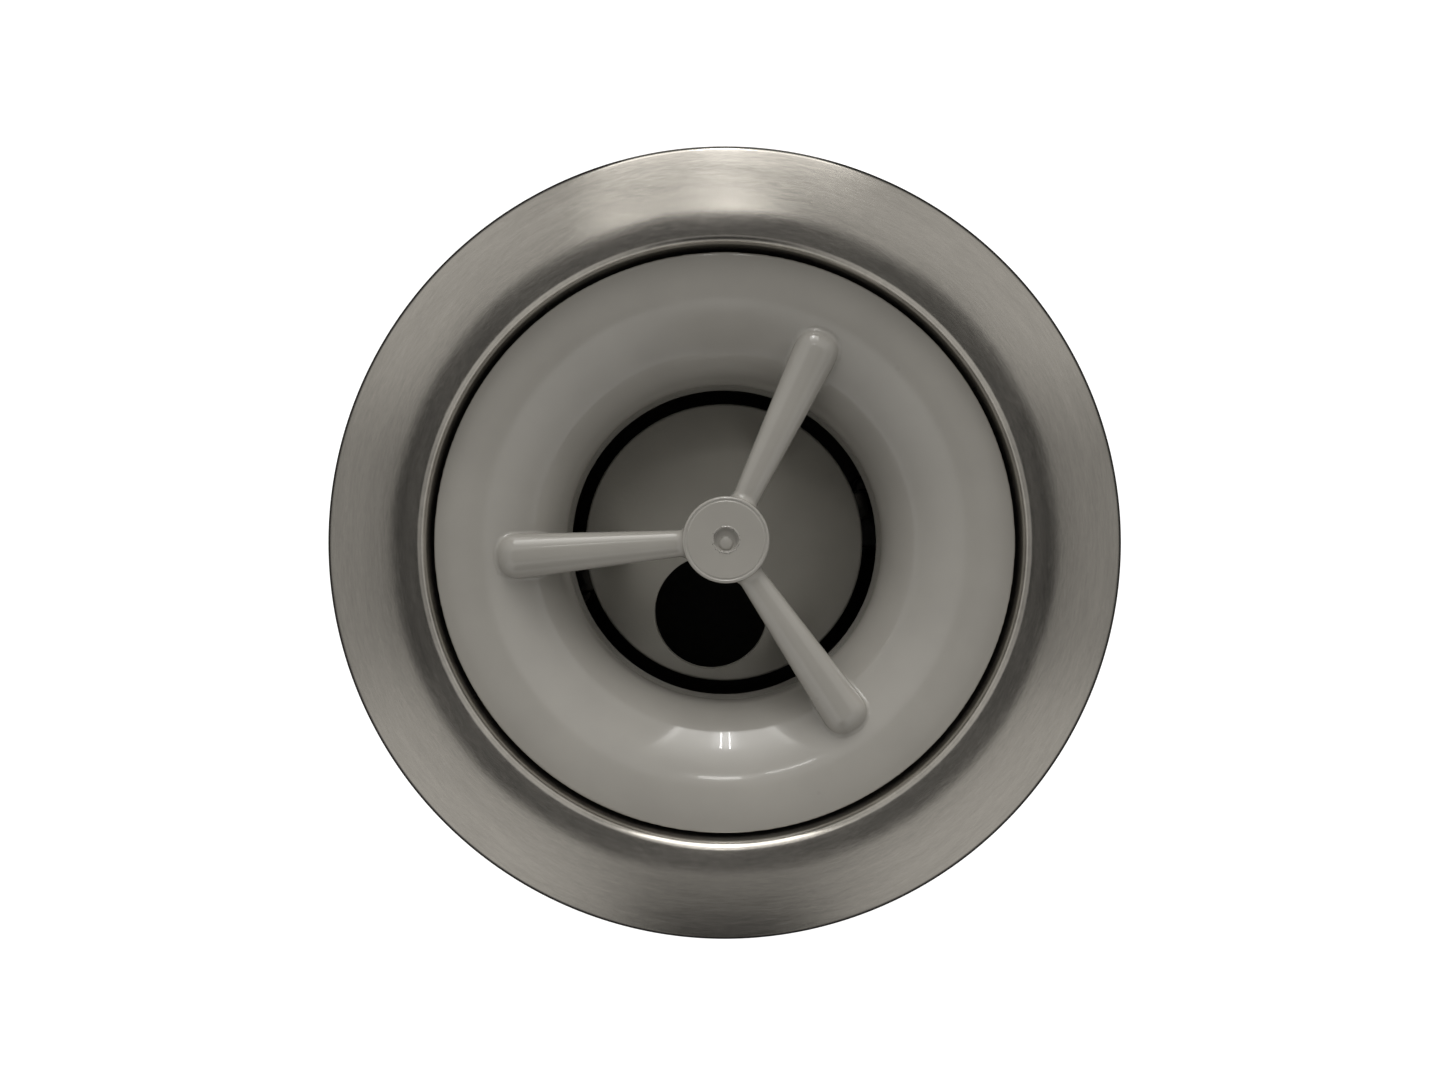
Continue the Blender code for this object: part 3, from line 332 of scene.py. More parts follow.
def plated(name, colour, roughness):
    """Plate over pressed steel: cloudy, with fine rolling marks."""
    n = Nodes(name, colour, roughness, 1.0)
    n.tint(n.noise(120.0, 5.0), 0.80, 1.12)
    n.rough(n.noise(300.0, 4.0), 0.09)
    n.bump(n.noise(1.0, 4.0, n.stretch(300.0, 2600.0, 300.0)), 0.000014, 0.5)
    return n.material


def wound_wire(name, colour, roughness):
    """Enamelled wire: fine turns that cross the coil ends, under uneven varnish."""
    n = Nodes(name, colour, roughness, 0.9)
    wires = n.noise(1.0, 2.0, n.round_axis(60.0, 900.0))
    n.tint(wires, 0.55, 1.25)
    n.rough(n.noise(150.0, 3.0), 0.1)
    n.bump(wires, 0.0006, 0.8)
    return n.material


def laminated(name, colour, roughness):
    """Stacked core plates, edge on."""
    n = Nodes(name, colour, roughness, 0.9)
    wave = {"Vector": n.place, "Scale": 520.0, "Distortion": 0.3}
    plates = n.add("ShaderNodeTexWave", wave, bands_direction="Z")
    n.tint(plates.outputs["Fac"], 0.7, 1.2)
    n.rough(n.noise(200.0, 3.0), 0.08)
    n.bump(plates.outputs["Fac"], 0.00015, 0.8)
    return n.material


def foam(name, colour, roughness):
    n = Nodes(name, colour, roughness)
    n.tint(n.noise(200.0, 4.0), 0.7, 1.4)
    n.bump(n.cells(1400.0), 0.0004, 0.9)
    return n.material


STAINLESS = (0.497, 0.473, 0.432)
MATERIALS = {name: maker(name, *values) for name, maker, *values in (
    ("stainless", brushed_round, STAINLESS, 0.19, 0.90, 0.03),
    ("flange_steel", brushed_round, STAINLESS, 0.19, 0.90, 0.03, PAINTED_RIM_SHADE_R),
    # A darkened steel for the turntable, so that the view down the baffle's hole reads black: painted
    # shade.
    ("worn_steel", brushed_round, (0.15, 0.145, 0.138), 0.42, 0.4),
    ("zinc_steel", plated, (0.55, 0.555, 0.56), 0.38),
    ("bearing_steel", brushed_round, (0.64, 0.64, 0.63), 0.22, 0.4),
    ("cover_plastic", glossy_plastic, (0.402, 0.386, 0.354), 0.14),
    ("baffle_plastic", matte_plastic, (0.43, 0.413, 0.368), 0.52, 1500.0, 0.00003, 30.0),
    ("black_plastic", matte_plastic, (0.013, 0.013, 0.014), 0.45),
    ("rubber", plain, (0.016, 0.016, 0.016), 0.72, (90.0, 5.0, 0.7, 1.6), (250.0, 3.0, 0.1),
     (1500.0, 3.0, 0.00003, 0.5), 0.0, {"Specular IOR Level": 0.35}),
    ("hopper_paint", powder_coat, (0.024, 0.025, 0.027), 0.38),
    ("trim_plastic", leather_grain, (0.235, 0.24, 0.245), 0.42),
    ("housing_paint", powder_coat, (0.020, 0.021, 0.023), 0.36),
    ("cast_aluminium", plain, (0.45, 0.45, 0.44), 0.48, (80.0, 5.0, 0.78, 1.12), (260.0, 4.0, 0.1),
     (900.0, 4.0, 0.00012, 0.6), 1.0),
    ("core_iron", laminated, (0.13, 0.125, 0.12), 0.55),
    ("copper_wire", wound_wire, (0.42, 0.15, 0.055), 0.34),
    ("liner_foam", foam, (0.045, 0.045, 0.048), 0.95),
    ("magnet", plated, (0.42, 0.42, 0.43), 0.28),
    ("reset_red", matte_plastic, (0.42, 0.018, 0.014), 0.38, 1800.0, 0.00001),
)}


def dress(piece, material):
    piece.data.materials.clear()
    piece.data.materials.append(MATERIALS[material])
    return piece


def dress_frame():
    """Every CAD node that still shows gets its slot's material."""
    for row in frame["record"]["subparts"]:
        node = frame["nodes"][row["node"]]
        for slot in node.material_slots:
            slot.material = MATERIALS[row["material_slot"]]


# ---- mesh helpers

def place(made, name, slot, node, body="root"):
    """Names a piece, gives it its material, and says which node it stands for and what it rides on."""
    made.name = made.data.name = name
    dress(made, slot)
    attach(made, body)
    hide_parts(node)
    return made


def object_from(mesh):
    made = bpy.data.objects.new("piece", mesh)
    bpy.context.scene.collection.objects.link(made)
    return made


def soften(made, angle=32.0):
    made.data.shade_smooth()
    made.data.set_sharp_from_angle(angle=radians(angle))
    return made


def solid(work):
    """The object that a finished bmesh makes."""
    mesh = bpy.data.meshes.new("piece")
    work.to_mesh(mesh)
    work.free()
    return soften(object_from(mesh))


def skin(work, first, second, flip=False):
    """Joins two loops of points with quads, or triangles where a loop has closed to one point."""
    for k in range(len(first)):
        after = (k + 1) % len(first)
        around = list(dict.fromkeys((first[k], second[k], second[after], first[after])))
        if len(around) > 2:
            work.faces.new(around[::-1] if flip else around)


def filleted(corners, closed=True, steps=4):
    """Rounds each (r, z, fillet) corner of a profile; a corner with no third value stays sharp."""
    rounded = []
    count = len(corners)
    for i, corner in enumerate(corners):
        here = np.array(corner[:2])
        fillet = corner[2] if len(corner) > 2 else 0.0
        if fillet == 0.0 or (not closed and i in (0, count - 1)):
            rounded.append(tuple(here))
            continue
        back = np.array(corners[i - 1][:2]) - here
        ahead = np.array(corners[(i + 1) % count][:2]) - here
        back_length, ahead_length = np.linalg.norm(back), np.linalg.norm(ahead)
        back, ahead = back / back_length, ahead / ahead_length
        half = np.arccos(np.clip(back @ ahead, -1.0, 1.0)) / 2
        reach = min(fillet / np.tan(half), 0.48 * back_length, 0.48 * ahead_length)
        start, end = here + back * reach, here + ahead * reach
        for step in range(steps + 1):
            t = step / steps
            point = (1 - t) ** 2 * start + 2 * t * (1 - t) * here + t**2 * end
            rounded.append(tuple(point))
    return rounded


def lathe(corners, sides=ROUND, closed=True, fillet_steps=4):
    """A profile of (r, z, fillet) corners, down its outer side, swept round Z."""
    profile = filleted(corners, closed, fillet_steps)
    work = bmesh.new()
    turns = [(cos(tau * k / sides), sin(tau * k / sides)) for k in range(sides)]
    rings = []
    for r, z in profile:
        if r < 1e-7:
            rings.append([work.verts.new((0.0, 0.0, z))] * sides)
        else:
            rings.append([work.verts.new((r * c, r * s, z)) for c, s in turns])
    for upper, lower in zip(rings, rings[1:] + rings[:1] if closed else rings[1:]):
        skin(work, upper, lower)
    return solid(work)


def washer(inner, outer, low, high, edge=0.0003, sides=ROUND):
    return lathe([(inner, high, edge), (outer, high, edge), (outer, low, edge), (inner, low, edge)], sides)


def lay(made, along, centre):
    """Turns a piece made round Z so that Z lies along a direction, at centre."""
    turn = Vector(along).to_track_quat("Z", "Y").to_matrix().to_4x4()
    made.data.transform(Matrix.Translation(centre) @ turn)
    return made


def spin(made, angle):
    made.data.transform(Matrix.Rotation(radians(angle), 4, "Z"))
    return made


def shift(made, x=0.0, y=0.0, z=0.0):
    made.data.transform(Matrix.Translation((x, y, z)))
    return made


def block(size, centre, bevel=0.4 * MM, turn=0.0):
    """A box with rounded edges, turned about the Z axis after it is placed."""
    work = bmesh.new()
    bmesh.ops.create_cube(work, size=1.0)
    bmesh.ops.scale(work, vec=size, verts=work.verts)
    if bevel:
        bmesh.ops.bevel(work, geom=work.edges[:], offset=bevel, segments=3, profile=0.5, affect="EDGES")
    placing = Matrix.Rotation(radians(turn), 4, "Z") @ Matrix.Translation(centre)
    bmesh.ops.transform(work, matrix=placing, verts=work.verts)
    return solid(work)


def slab(outline, low, high, bevel=0.0003):
    """A flat outline in XY, from low to high, with rounded rims."""
    work = bmesh.new()
    bottom = work.faces.new([work.verts.new((x, y, low)) for x, y in outline])
    raised = bmesh.ops.extrude_face_region(work, geom=[bottom])
    top = [v for v in raised["geom"] if isinstance(v, bmesh.types.BMVert)]
    bmesh.ops.translate(work, verts=top, vec=(0.0, 0.0, high - low))
    bmesh.ops.recalc_face_normals(work, faces=work.faces)
    if bevel:
        rims = [e for e in work.edges if abs(e.verts[0].co.z - e.verts[1].co.z) < 1e-7]
        bmesh.ops.bevel(work, geom=rims, offset=bevel, segments=2, profile=0.5, affect="EDGES")
    return solid(work)


def apply_boolean(made, tool, operation):
    modifier = made.modifiers.new("boolean", "BOOLEAN")
    modifier.operation, modifier.object, modifier.solver = operation, tool, "EXACT"
    seen = made.evaluated_get(bpy.context.evaluated_depsgraph_get())
    mesh = bpy.data.meshes.new_from_object(seen)
    made.modifiers.clear()
    made.data = mesh
    bpy.data.objects.remove(tool)
    return soften(made)


def cut(made, tool):
    return apply_boolean(made, tool, "DIFFERENCE")


def join(made, tool):
    return apply_boolean(made, tool, "UNION")


def face_x(made, x, z):
    """Turns a flat piece made round Z to face along X, with its own X across to Y."""
    turn = Matrix.Rotation(radians(90.0), 4, "Z") @ Matrix.Rotation(radians(90.0), 4, "X")
    made.data.transform(Matrix.Translation((x, 0.0, z)) @ turn)
    return made


def gather(*parts):
    """Several loose shapes as one object."""
    work = bmesh.new()
    for part in parts:
        work.from_mesh(part.data)
        bpy.data.objects.remove(part)
    return solid(work)


def spindle(corners, sides=SMALL):
    """A profile that starts and ends on the Z axis, swept round it."""
    return lathe(corners, sides, closed=False)


def bar(radius, low, high, sides=SMALL):
    return spindle([(0.0, high), (radius, high), (radius, low), (0.0, low)], sides)


def drill(made, radius, low, high, x=0.0, y=0.0, sides=SMALL):
    return cut(made, shift(bar(radius, low, high, sides), x, y))


def polar(radius, angle):
    return radius * cos(radians(angle)), radius * sin(radians(angle))


def arc(centre, radius, start, end, count):
    turns = [radians(start + (end - start) * i / (count - 1)) for i in range(count)]
    return [(centre[0] + radius * cos(t), centre[1] + radius * sin(t)) for t in turns]


def swept(points, radius_out, radius_in):
    """A hollow pipe along points in the XZ plane, closed by a flat ring at each end."""
    places = [Vector((x, 0.0, z)) for x, z in points]
    work = bmesh.new()
    loops = {radius_out: [], radius_in: []}
    for i, here in enumerate(places):
        before, after = places[max(i - 1, 0)], places[min(i + 1, len(places) - 1)]
        along = (after - before).normalized()
        side = Vector((0.0, 1.0, 0.0))
        up = side.cross(along).normalized()
        for radius, rings in loops.items():
            rings.append([
                work.verts.new(here + radius * (cos(tau * k / FINE) * side + sin(tau * k / FINE) * up))
                for k in range(FINE)
            ])
    outer, inner = loops[radius_out], loops[radius_in]
    for rings, flip in ((outer, False), (inner, True)):
        for first, second in zip(rings, rings[1:]):
            skin(work, first, second, flip)
    skin(work, outer[0], inner[0], flip=True)
    skin(work, outer[-1], inner[-1])
    bmesh.ops.recalc_face_normals(work, faces=work.faces)
    return solid(work)


def hexagon(across):
    return arc((0.0, 0.0), across / sqrt(3.0), 0.0, 300.0, 6)


def threads(radius, low, high, pitch):
    """A screw's shank with its thread as rounded ridges."""
    depth = 0.18 * pitch
    count = max(2, int((high - low) / pitch))
    step = (high - low) / count
    corners = [(0.0, high)]
    for k in range(count):
        top = high - k * step
        corners += [(radius - depth, top), (radius, top - 0.35 * step), (radius, top - 0.65 * step)]
    corners += [(radius - depth, low), (0.0, low)]
    return spindle(corners)


# ---- the feed cover, as a blended solid

def smooth_min(a, b, blend):
    h = np.maximum(blend - np.abs(a - b), 0.0) / blend
    return np.minimum(a, b) - h * h * blend * 0.25


def segment_distance(r, z, start, end):
    ax, az = start
    bx, bz = end[0] - ax, end[1] - az
    t = np.clip(((r - ax) * bx + (z - az) * bz) / (bx * bx + bz * bz), 0.0, 1.0)
    return np.hypot(r - ax - t * bx, z - az - t * bz)


def funnel_field(x, y, z):
    """Distance to the bell mouth's wall."""
    r = np.hypot(x, y)
    half = COVER_WALL / 2
    wide_z = COVER_FACE_Z - BELL_R
    lip_r = (BELL_CENTRE_R - BELL_R * sin(BELL_TURN) - THROAT_R) / (1.0 - sin(BELL_TURN))
    lip_z = wide_z + (BELL_R - lip_r) * cos(BELL_TURN)
    throat_r, face_z = THROAT_R + half, COVER_FACE_Z - half
    distance = np.minimum(
        segment_distance(r, z, (throat_r, THROAT_END_Z + half), (throat_r, lip_z)),
        segment_distance(r, z, (BELL_CENTRE_R, face_z), (COVER_R + 0.003, face_z)),
    )
    stretches = (
        (BELL_CENTRE_R, wide_z, BELL_R - half, 0.0, BELL_TURN),
        (THROAT_R + lip_r, lip_z, lip_r - half, BELL_TURN, pi / 2),
    )
    for centre_r, centre_z, radius, first, last in stretches:
        tilt = np.arctan2(centre_r - r, z - centre_z)
        away = np.abs(np.hypot(r - centre_r, z - centre_z) - radius)
        distance = np.where((tilt >= first) & (tilt <= last), np.minimum(away, distance), distance)
    return -smooth_min(half - distance, COVER_R - r, 0.0003)


def in_direction(x, y, angle):
    """Distances along and across a direction."""
    c, s = cos(radians(angle)), sin(radians(angle))
    return x * c + y * s, y * c - x * s


def arm_field(x, y, z, angle):
    """A round-nosed arm that widens outwards, carried down as a rib."""
    along, across = in_direction(x, y, angle)
    t = np.clip((along - ARM_START) / (ARM_END - ARM_START), 0.0, 1.0)
    radius = ARM_ROOT_R + (ARM_TIP_R - ARM_ROOT_R) * t
    crown = -0.0014 + 0.0004 * t
    centre_z = crown - radius
    drop = 0.0035 * (1.0 - 0.6 * t)
    height = z - np.clip(z, centre_z - drop, centre_z)
    reach = along - np.clip(along, ARM_START, ARM_END)
    total = (reach**2 + height**2) ** (ARM_POWER / 2) + np.abs(across) ** ARM_POWER
    return total ** (1 / ARM_POWER) - radius


def round_bar_field(x, y, z, radius, low, high, edge):
    side = np.hypot(x, y) - radius + edge
    end = np.abs(z - (low + high) / 2) - (high - low) / 2 + edge
    outside = np.hypot(np.maximum(side, 0.0), np.maximum(end, 0.0))
    return outside + np.minimum(np.maximum(side, end), 0.0) - edge


def lug_field(x, y, z, angle):
    """A drive lug under the rim that drops into one of the sleeve's notches."""
    along, across = in_direction(x, y, angle)
    dx = np.abs(along - 0.0413) - 0.0006
    dy = np.abs(across) - 0.0018
    dz = np.abs(z + 0.0044) - 0.0022
    outside = np.sqrt(np.maximum(dx, 0) ** 2 + np.maximum(dy, 0) ** 2 + np.maximum(dz, 0) ** 2)
    return outside + np.minimum(np.maximum(np.maximum(dx, dy), dz), 0.0) - 0.0002


def cover_field(x, y, z):
    """Distance to the whole cover: bell, lugs, and a grip with a groove, dimple and nub in its hub."""
    body = funnel_field(x, y, z)
    for angle in NOTCH_ANGLES:
        body = np.minimum(body, lug_field(x, y, z, angle))
    grip_x, grip_y = x - GRIP_X, y - GRIP_Y
    from_hub = np.hypot(grip_x, grip_y)
    grip = round_bar_field(grip_x, grip_y, z, HUB_R, HUB_LOW, HUB_HIGH, 0.00040)
    for angle in ARM_ANGLES:
        grip = smooth_min(grip, arm_field(grip_x, grip_y, z, angle), 0.0011)
    body = smooth_min(body, grip, 0.0005)
    groove = np.hypot(from_hub - HUB_GROOVE_R, z + 0.0001) - 0.0002
    body = np.maximum(body, -groove)
    dimple = round_bar_field(grip_x, grip_y, z, DIMPLE_R, DIMPLE_FLOOR, 0.002, 0.0002)
    body = np.maximum(body, -dimple)
    lip = np.hypot(from_hub - 0.0019, z - HUB_HIGH) - 0.00011
    nub = np.sqrt(grip_x**2 + (grip_y + 0.0005) ** 2 + ((z + 0.00110) * 2.6) ** 2) - 0.00105
    return np.minimum(np.minimum(body, lip), nub)


def gradient(field, points, step=0.00002):
    slopes = []
    for axis in range(3):
        nudge = np.zeros(3)
        nudge[axis] = step
        slopes.append((field(*(points + nudge).T) - field(*(points - nudge).T)) / (2 * step))
    return np.stack(slopes, axis=1)


def settle(field, points, rounds=3, most=0.0003):
    """Moves points onto the field's surface."""
    for _ in range(rounds):
        slope = gradient(field, points)
        size = np.maximum((slope**2).sum(axis=1), 0.05)
        move = (field(*points.T) / size)[:, None] * slope
        length = np.linalg.norm(move, axis=1, keepdims=True)
        points = points - move * np.minimum(1.0, most / np.maximum(length, 1e-12))
    return points


def surface_net(field, low, high, cell):
    """A quad mesh of a field's surface: one point in each grid cell that it crosses."""
    counts = [int(np.ceil((b - a) / cell)) + 1 for a, b in zip(low, high)]
    axes = [a + cell * np.arange(n) for a, n in zip(low, counts)]
    values = np.empty(counts, dtype=np.float32)
    for k, z in enumerate(axes[2]):
        x, y = np.meshgrid(axes[0], axes[1], indexing="ij")
        values[:, :, k] = field(x, y, np.full_like(x, z))
    inside = values < 0.0
    corners = [(i, j, k) for i in (0, 1) for j in (0, 1) for k in (0, 1)]
    n = [c - 1 for c in counts]
    total = np.zeros(n, dtype=np.int8)
    for i, j, k in corners:
        total += inside[i:i + n[0], j:j + n[1], k:k + n[2]]
    crossed = (total > 0) & (total < 8)
    cells = np.argwhere(crossed)
    index = np.full(n, -1, dtype=np.int64)
    index[crossed] = np.arange(len(cells))
    sums, hits = np.zeros((len(cells), 3)), np.zeros(len(cells))
    for a in corners:
        for axis in range(3):
            if a[axis]:
                continue
            b = tuple(v + (1 if q == axis else 0) for q, v in enumerate(a))
            va = values[tuple((cells + a).T)]
            vb = values[tuple((cells + b).T)]
            across = (va < 0) != (vb < 0)
            t = np.where(across, va / np.where(across, va - vb, 1.0), 0.0)
            place_here = cells + np.array(a, dtype=float)
            place_here[:, axis] += t
            sums += place_here * across[:, None]
            hits += across
    points = np.array(low) + cell * sums / hits[:, None]
    quads = []
    for axis in range(3):
        u, v = (axis + 1) % 3, (axis + 2) % 3
        first = np.take(inside, range(0, counts[axis] - 1), axis=axis)
        second = np.take(inside, range(1, counts[axis]), axis=axis)
        where = np.argwhere(first != second)
        where = where[(where[:, u] > 0) & (where[:, v] > 0) & (where[:, u] < n[u]) & (where[:, v] < n[v])]
        starts_inside = first[tuple(where.T)]
        ring = []
        for du, dv in ((-1, -1), (0, -1), (0, 0), (-1, 0)):
            shifted = where.copy()
            shifted[:, u] += du
            shifted[:, v] += dv
            ring.append(index[tuple(shifted.T)])
        quad = np.stack(ring, axis=1)
        quads.append(np.where(starts_inside[:, None], quad, quad[:, ::-1]))
    return points, np.concatenate(quads)


def make_feed_cover():
    cell = 0.00042
    points, quads = surface_net(cover_field, (-0.0434, -0.0434, -0.0206), (0.0434, 0.0434, 0.0006), cell)
    mesh = bpy.data.meshes.new("cover")
    mesh.from_pydata(points.tolist(), [], quads.tolist())
    work = bmesh.new()
    work.from_mesh(mesh)
    for _ in range(2):
        near = [e for e in work.edges if all(v.co.z > -0.0016 and v.co.xy.length < 0.0070 for v in e.verts)]
        bmesh.ops.subdivide_edges(work, edges=near, cuts=1, use_grid_fill=True)
    work.to_mesh(mesh)
    work.free()
    count = len(mesh.vertices)
    coords = np.empty(count * 3)
    mesh.vertices.foreach_get("co", coords)
    coords = settle(cover_field, coords.reshape(-1, 3))
    mesh.vertices.foreach_set("co", coords.ravel())
    mesh.update()
    mesh.shade_smooth()
    slope = gradient(cover_field, coords)
    slope /= np.maximum(np.linalg.norm(slope, axis=1, keepdims=True), 1e-9)
    mesh.normals_split_custom_set_from_vertices(slope.tolist())
    place(object_from(mesh), "feed_cover_shell", "cover_plastic", "feed_cover", "cover")


# ---- in the sink

def dome_run(start_r, start_z, radius, first, last, steps):
    """Points along a rounded stretch whose slope turns from first to last degrees, outwards positive."""
    points = []
    for step in range(1, steps + 1):
        angle = radians(first + (last - first) * step / steps)
        turned = radius * (sin(angle) - sin(radians(first)))
        fallen = radius * (cos(radians(first)) - cos(angle))
        points.append((start_r + turned, start_z - fallen))
    return points


def make_sink_flange():
    """Pressed and brushed sheet: a domed rim whose shoulder rolls over into the neck."""
    neck, lower, outer, sheet = 0.0430, 0.0420, 0.05715, 0.0008
    back = lower + sheet
    shoulder = dome_run(CREST_R, CREST_Z, CREST_CURVE, 0.0, SHOULDER_SLOPE, 8)
    roll_curve = (shoulder[-1][0] - neck) / (1 + sin(radians(SHOULDER_SLOPE)))
    roll = dome_run(*shoulder[-1], roll_curve, SHOULDER_SLOPE, ROLL_SLOPE, 16)
    crown = dome_run(CREST_R, CREST_Z, CREST_CURVE, 0.0, CROWN_SLOPE, 4)
    band = dome_run(*crown[-1], BAND_CURVE, CROWN_SLOPE, BAND_SLOPE, 12)
    edge = dome_run(*band[-1], EDGE_CURVE, BAND_SLOPE, EDGE_SLOPE, 5)
    corners = [
        (lower, -0.0460),
        (lower, -0.0102, 0.0006),
        (neck, -0.0095, 0.0003),
        *reversed(roll),
        *reversed(shoulder),
        (CREST_R, CREST_Z),
        *crown,
        *band,
        *edge,
        (outer, edge[-1][1] - 0.00010, 0.0001),
        (outer, 0.0),
        (0.05495, 0.0),
        (0.04800, 0.00120, 0.0010),
        (0.04500, 0.00080, 0.0010),
        (neck + sheet, -0.00080, 0.0006),
        (neck + sheet, -0.0103, 0.0004),
        (back, -0.0110, 0.0004),
        (back, -0.0268, 0.0001),
        (back - 0.0004, -0.0268),
        (back - 0.0004, -0.0294),
        (back, -0.0294, 0.0001),
        (back, -0.0460, 0.0003),
    ]
    sheet_metal = lathe(corners, RIM, fillet_steps=6)
    dress(place(sheet_metal, "sink_flange_sheet", "stainless", "sink_flange"), "flange_steel")


def make_baffle():
    low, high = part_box("cover_baffle")[0].z, -0.02875
    disc = spindle([(0.0, high), (0.0236, high, 0.0005), (0.0236, low, 0.0004), (0.0, low)], ROUND)
    disc = drill(disc, 0.0096, low - MM, high + MM, *polar(0.0121, 259.5), ROUND)
    for angle in ARM_ANGLES:
        disc = join(disc, block((0.0050, 0.0030, 0.0198), (0.0185, 0.0, -0.0194), turn=angle))
    place(disc, "baffle_disc", "baffle_plastic", "cover_baffle", "cover")


def make_sleeve():
    inner, outer, collar = 0.0399, 0.0417, 0.0427
    sleeve = lathe([
        (inner, -0.0039, 0.0003),
        (collar, -0.0039, 0.0003),
        (collar, -0.0092, 0.0003),
        (outer, -0.0098, 0.0004),
        (outer, -0.0720, 0.0004),
        (inner, -0.0720, 0.0004),
    ])
    for angle in NOTCH_ANGLES:
        sleeve = cut(sleeve, block((0.008, 0.0048, 0.008), (outer, 0.0, -0.0036), 0.0003, angle))
    place(sleeve, "sleeve_tube", "black_plastic", "switch_sleeve", "sleeve")


# ---- under the sink

def make_mounting():
    hole = 0.04445
    gasket = washer(hole, 0.0565, -0.0053, -0.0033, 0.0005)
    place(gasket, "fibre_gasket", "rubber", "sink_gasket")
    flange = lathe([
        (hole, -0.0056, 0.0003),
        (0.0530, -0.0056, 0.0004),
        (0.0535, -0.0056, 0.0004),
        (0.0589, -0.0056, 0.0007),
        (0.0589, -0.0081, 0.0007),
        (hole, -0.0081, 0.0003),
    ])
    place(flange, "backup_ring", "zinc_steel", "backup_flange")

    ring = washer(0.0432, 0.0635, -0.0265, -0.0220, 0.0009)
    for angle in HOOK_ANGLES:
        ring = join(ring, block((0.0026, 0.0140, 0.0300), (0.0612, 0.0, -0.0405), 0.0008, angle))
        ring = join(ring, block((0.0060, 0.0150, 0.0024), (0.0592, 0.0, -0.0548), 0.0007, angle))
        x, y = polar(MOUNT_SCREW_R, angle + 60.0)
        ring = drill(ring, 0.0033, -0.03, -0.018, x, y)
        ring = cut(ring, block((0.0050, 0.0160, 0.02), (0.0500, 0.0, -0.0242), 0.0015, angle))
    place(ring, "hooked_ring", "zinc_steel", "upper_mount_ring")

    for number, angle in enumerate(HOOK_ANGLES, 1):
        x, y = polar(MOUNT_SCREW_R, angle + 60.0)
        shank = threads(0.0030, -0.0332, -0.0084, 0.0012)
        head = spindle([
            (0.0, -0.0330), (0.0042, -0.0330, 0.0003), (0.0042, -0.0357, 0.0009), (0.0, -0.0365)
        ])
        head = cut(head, block((0.0100, 0.0011, 0.0030), (0.0, 0.0, -0.0368), 0.0, angle + 20.0))
        screw = shift(gather(shank, head), x, y)
        place(screw, f"jack_screw_{number}", "zinc_steel", f"mount_screw_{number}")

    snap = washer(0.0427, 0.0466, -0.0291, -0.0271, 0.0008)
    snap = cut(snap, block((0.012, 0.008, 0.008), (0.0445, 0.0, -0.0281), 0.0, 90.0))
    place(snap, "snap_wire_ring", "stainless", "snap_ring")

    gasket = lathe([
        (0.0431, -0.0390, 0.0006), (0.0465, -0.0390, 0.0010), (0.0475, -0.0425, 0.0012),
        (0.0505, -0.0435, 0.0010), (0.0505, -0.0450, 0.0003), (0.0498, -0.0454, 0.0003),
        (0.0505, -0.0458, 0.0003), (0.0505, -0.0467, 0.0004), (0.0431, -0.0467, 0.0004),
    ])
    place(gasket, "mounting_gasket", "rubber", "mount_gasket")

    lock = washer(0.0485, 0.0554, -0.0533, -0.0503, 0.0006)
    for angle in HOOK_ANGLES:
        lock = join(lock, block((0.0080, 0.0140, 0.0028), (0.0548, 0.0, -0.0518), 0.0006, angle))
        lock = join(lock, block((0.0044, 0.0060, 0.0030), (0.0571, 0.0, -0.0518), 0.0008, angle + 60.0))
    place(lock, "locking_ring", "zinc_steel", "lock_ring", "lock_ring")


# ---- grinding chamber

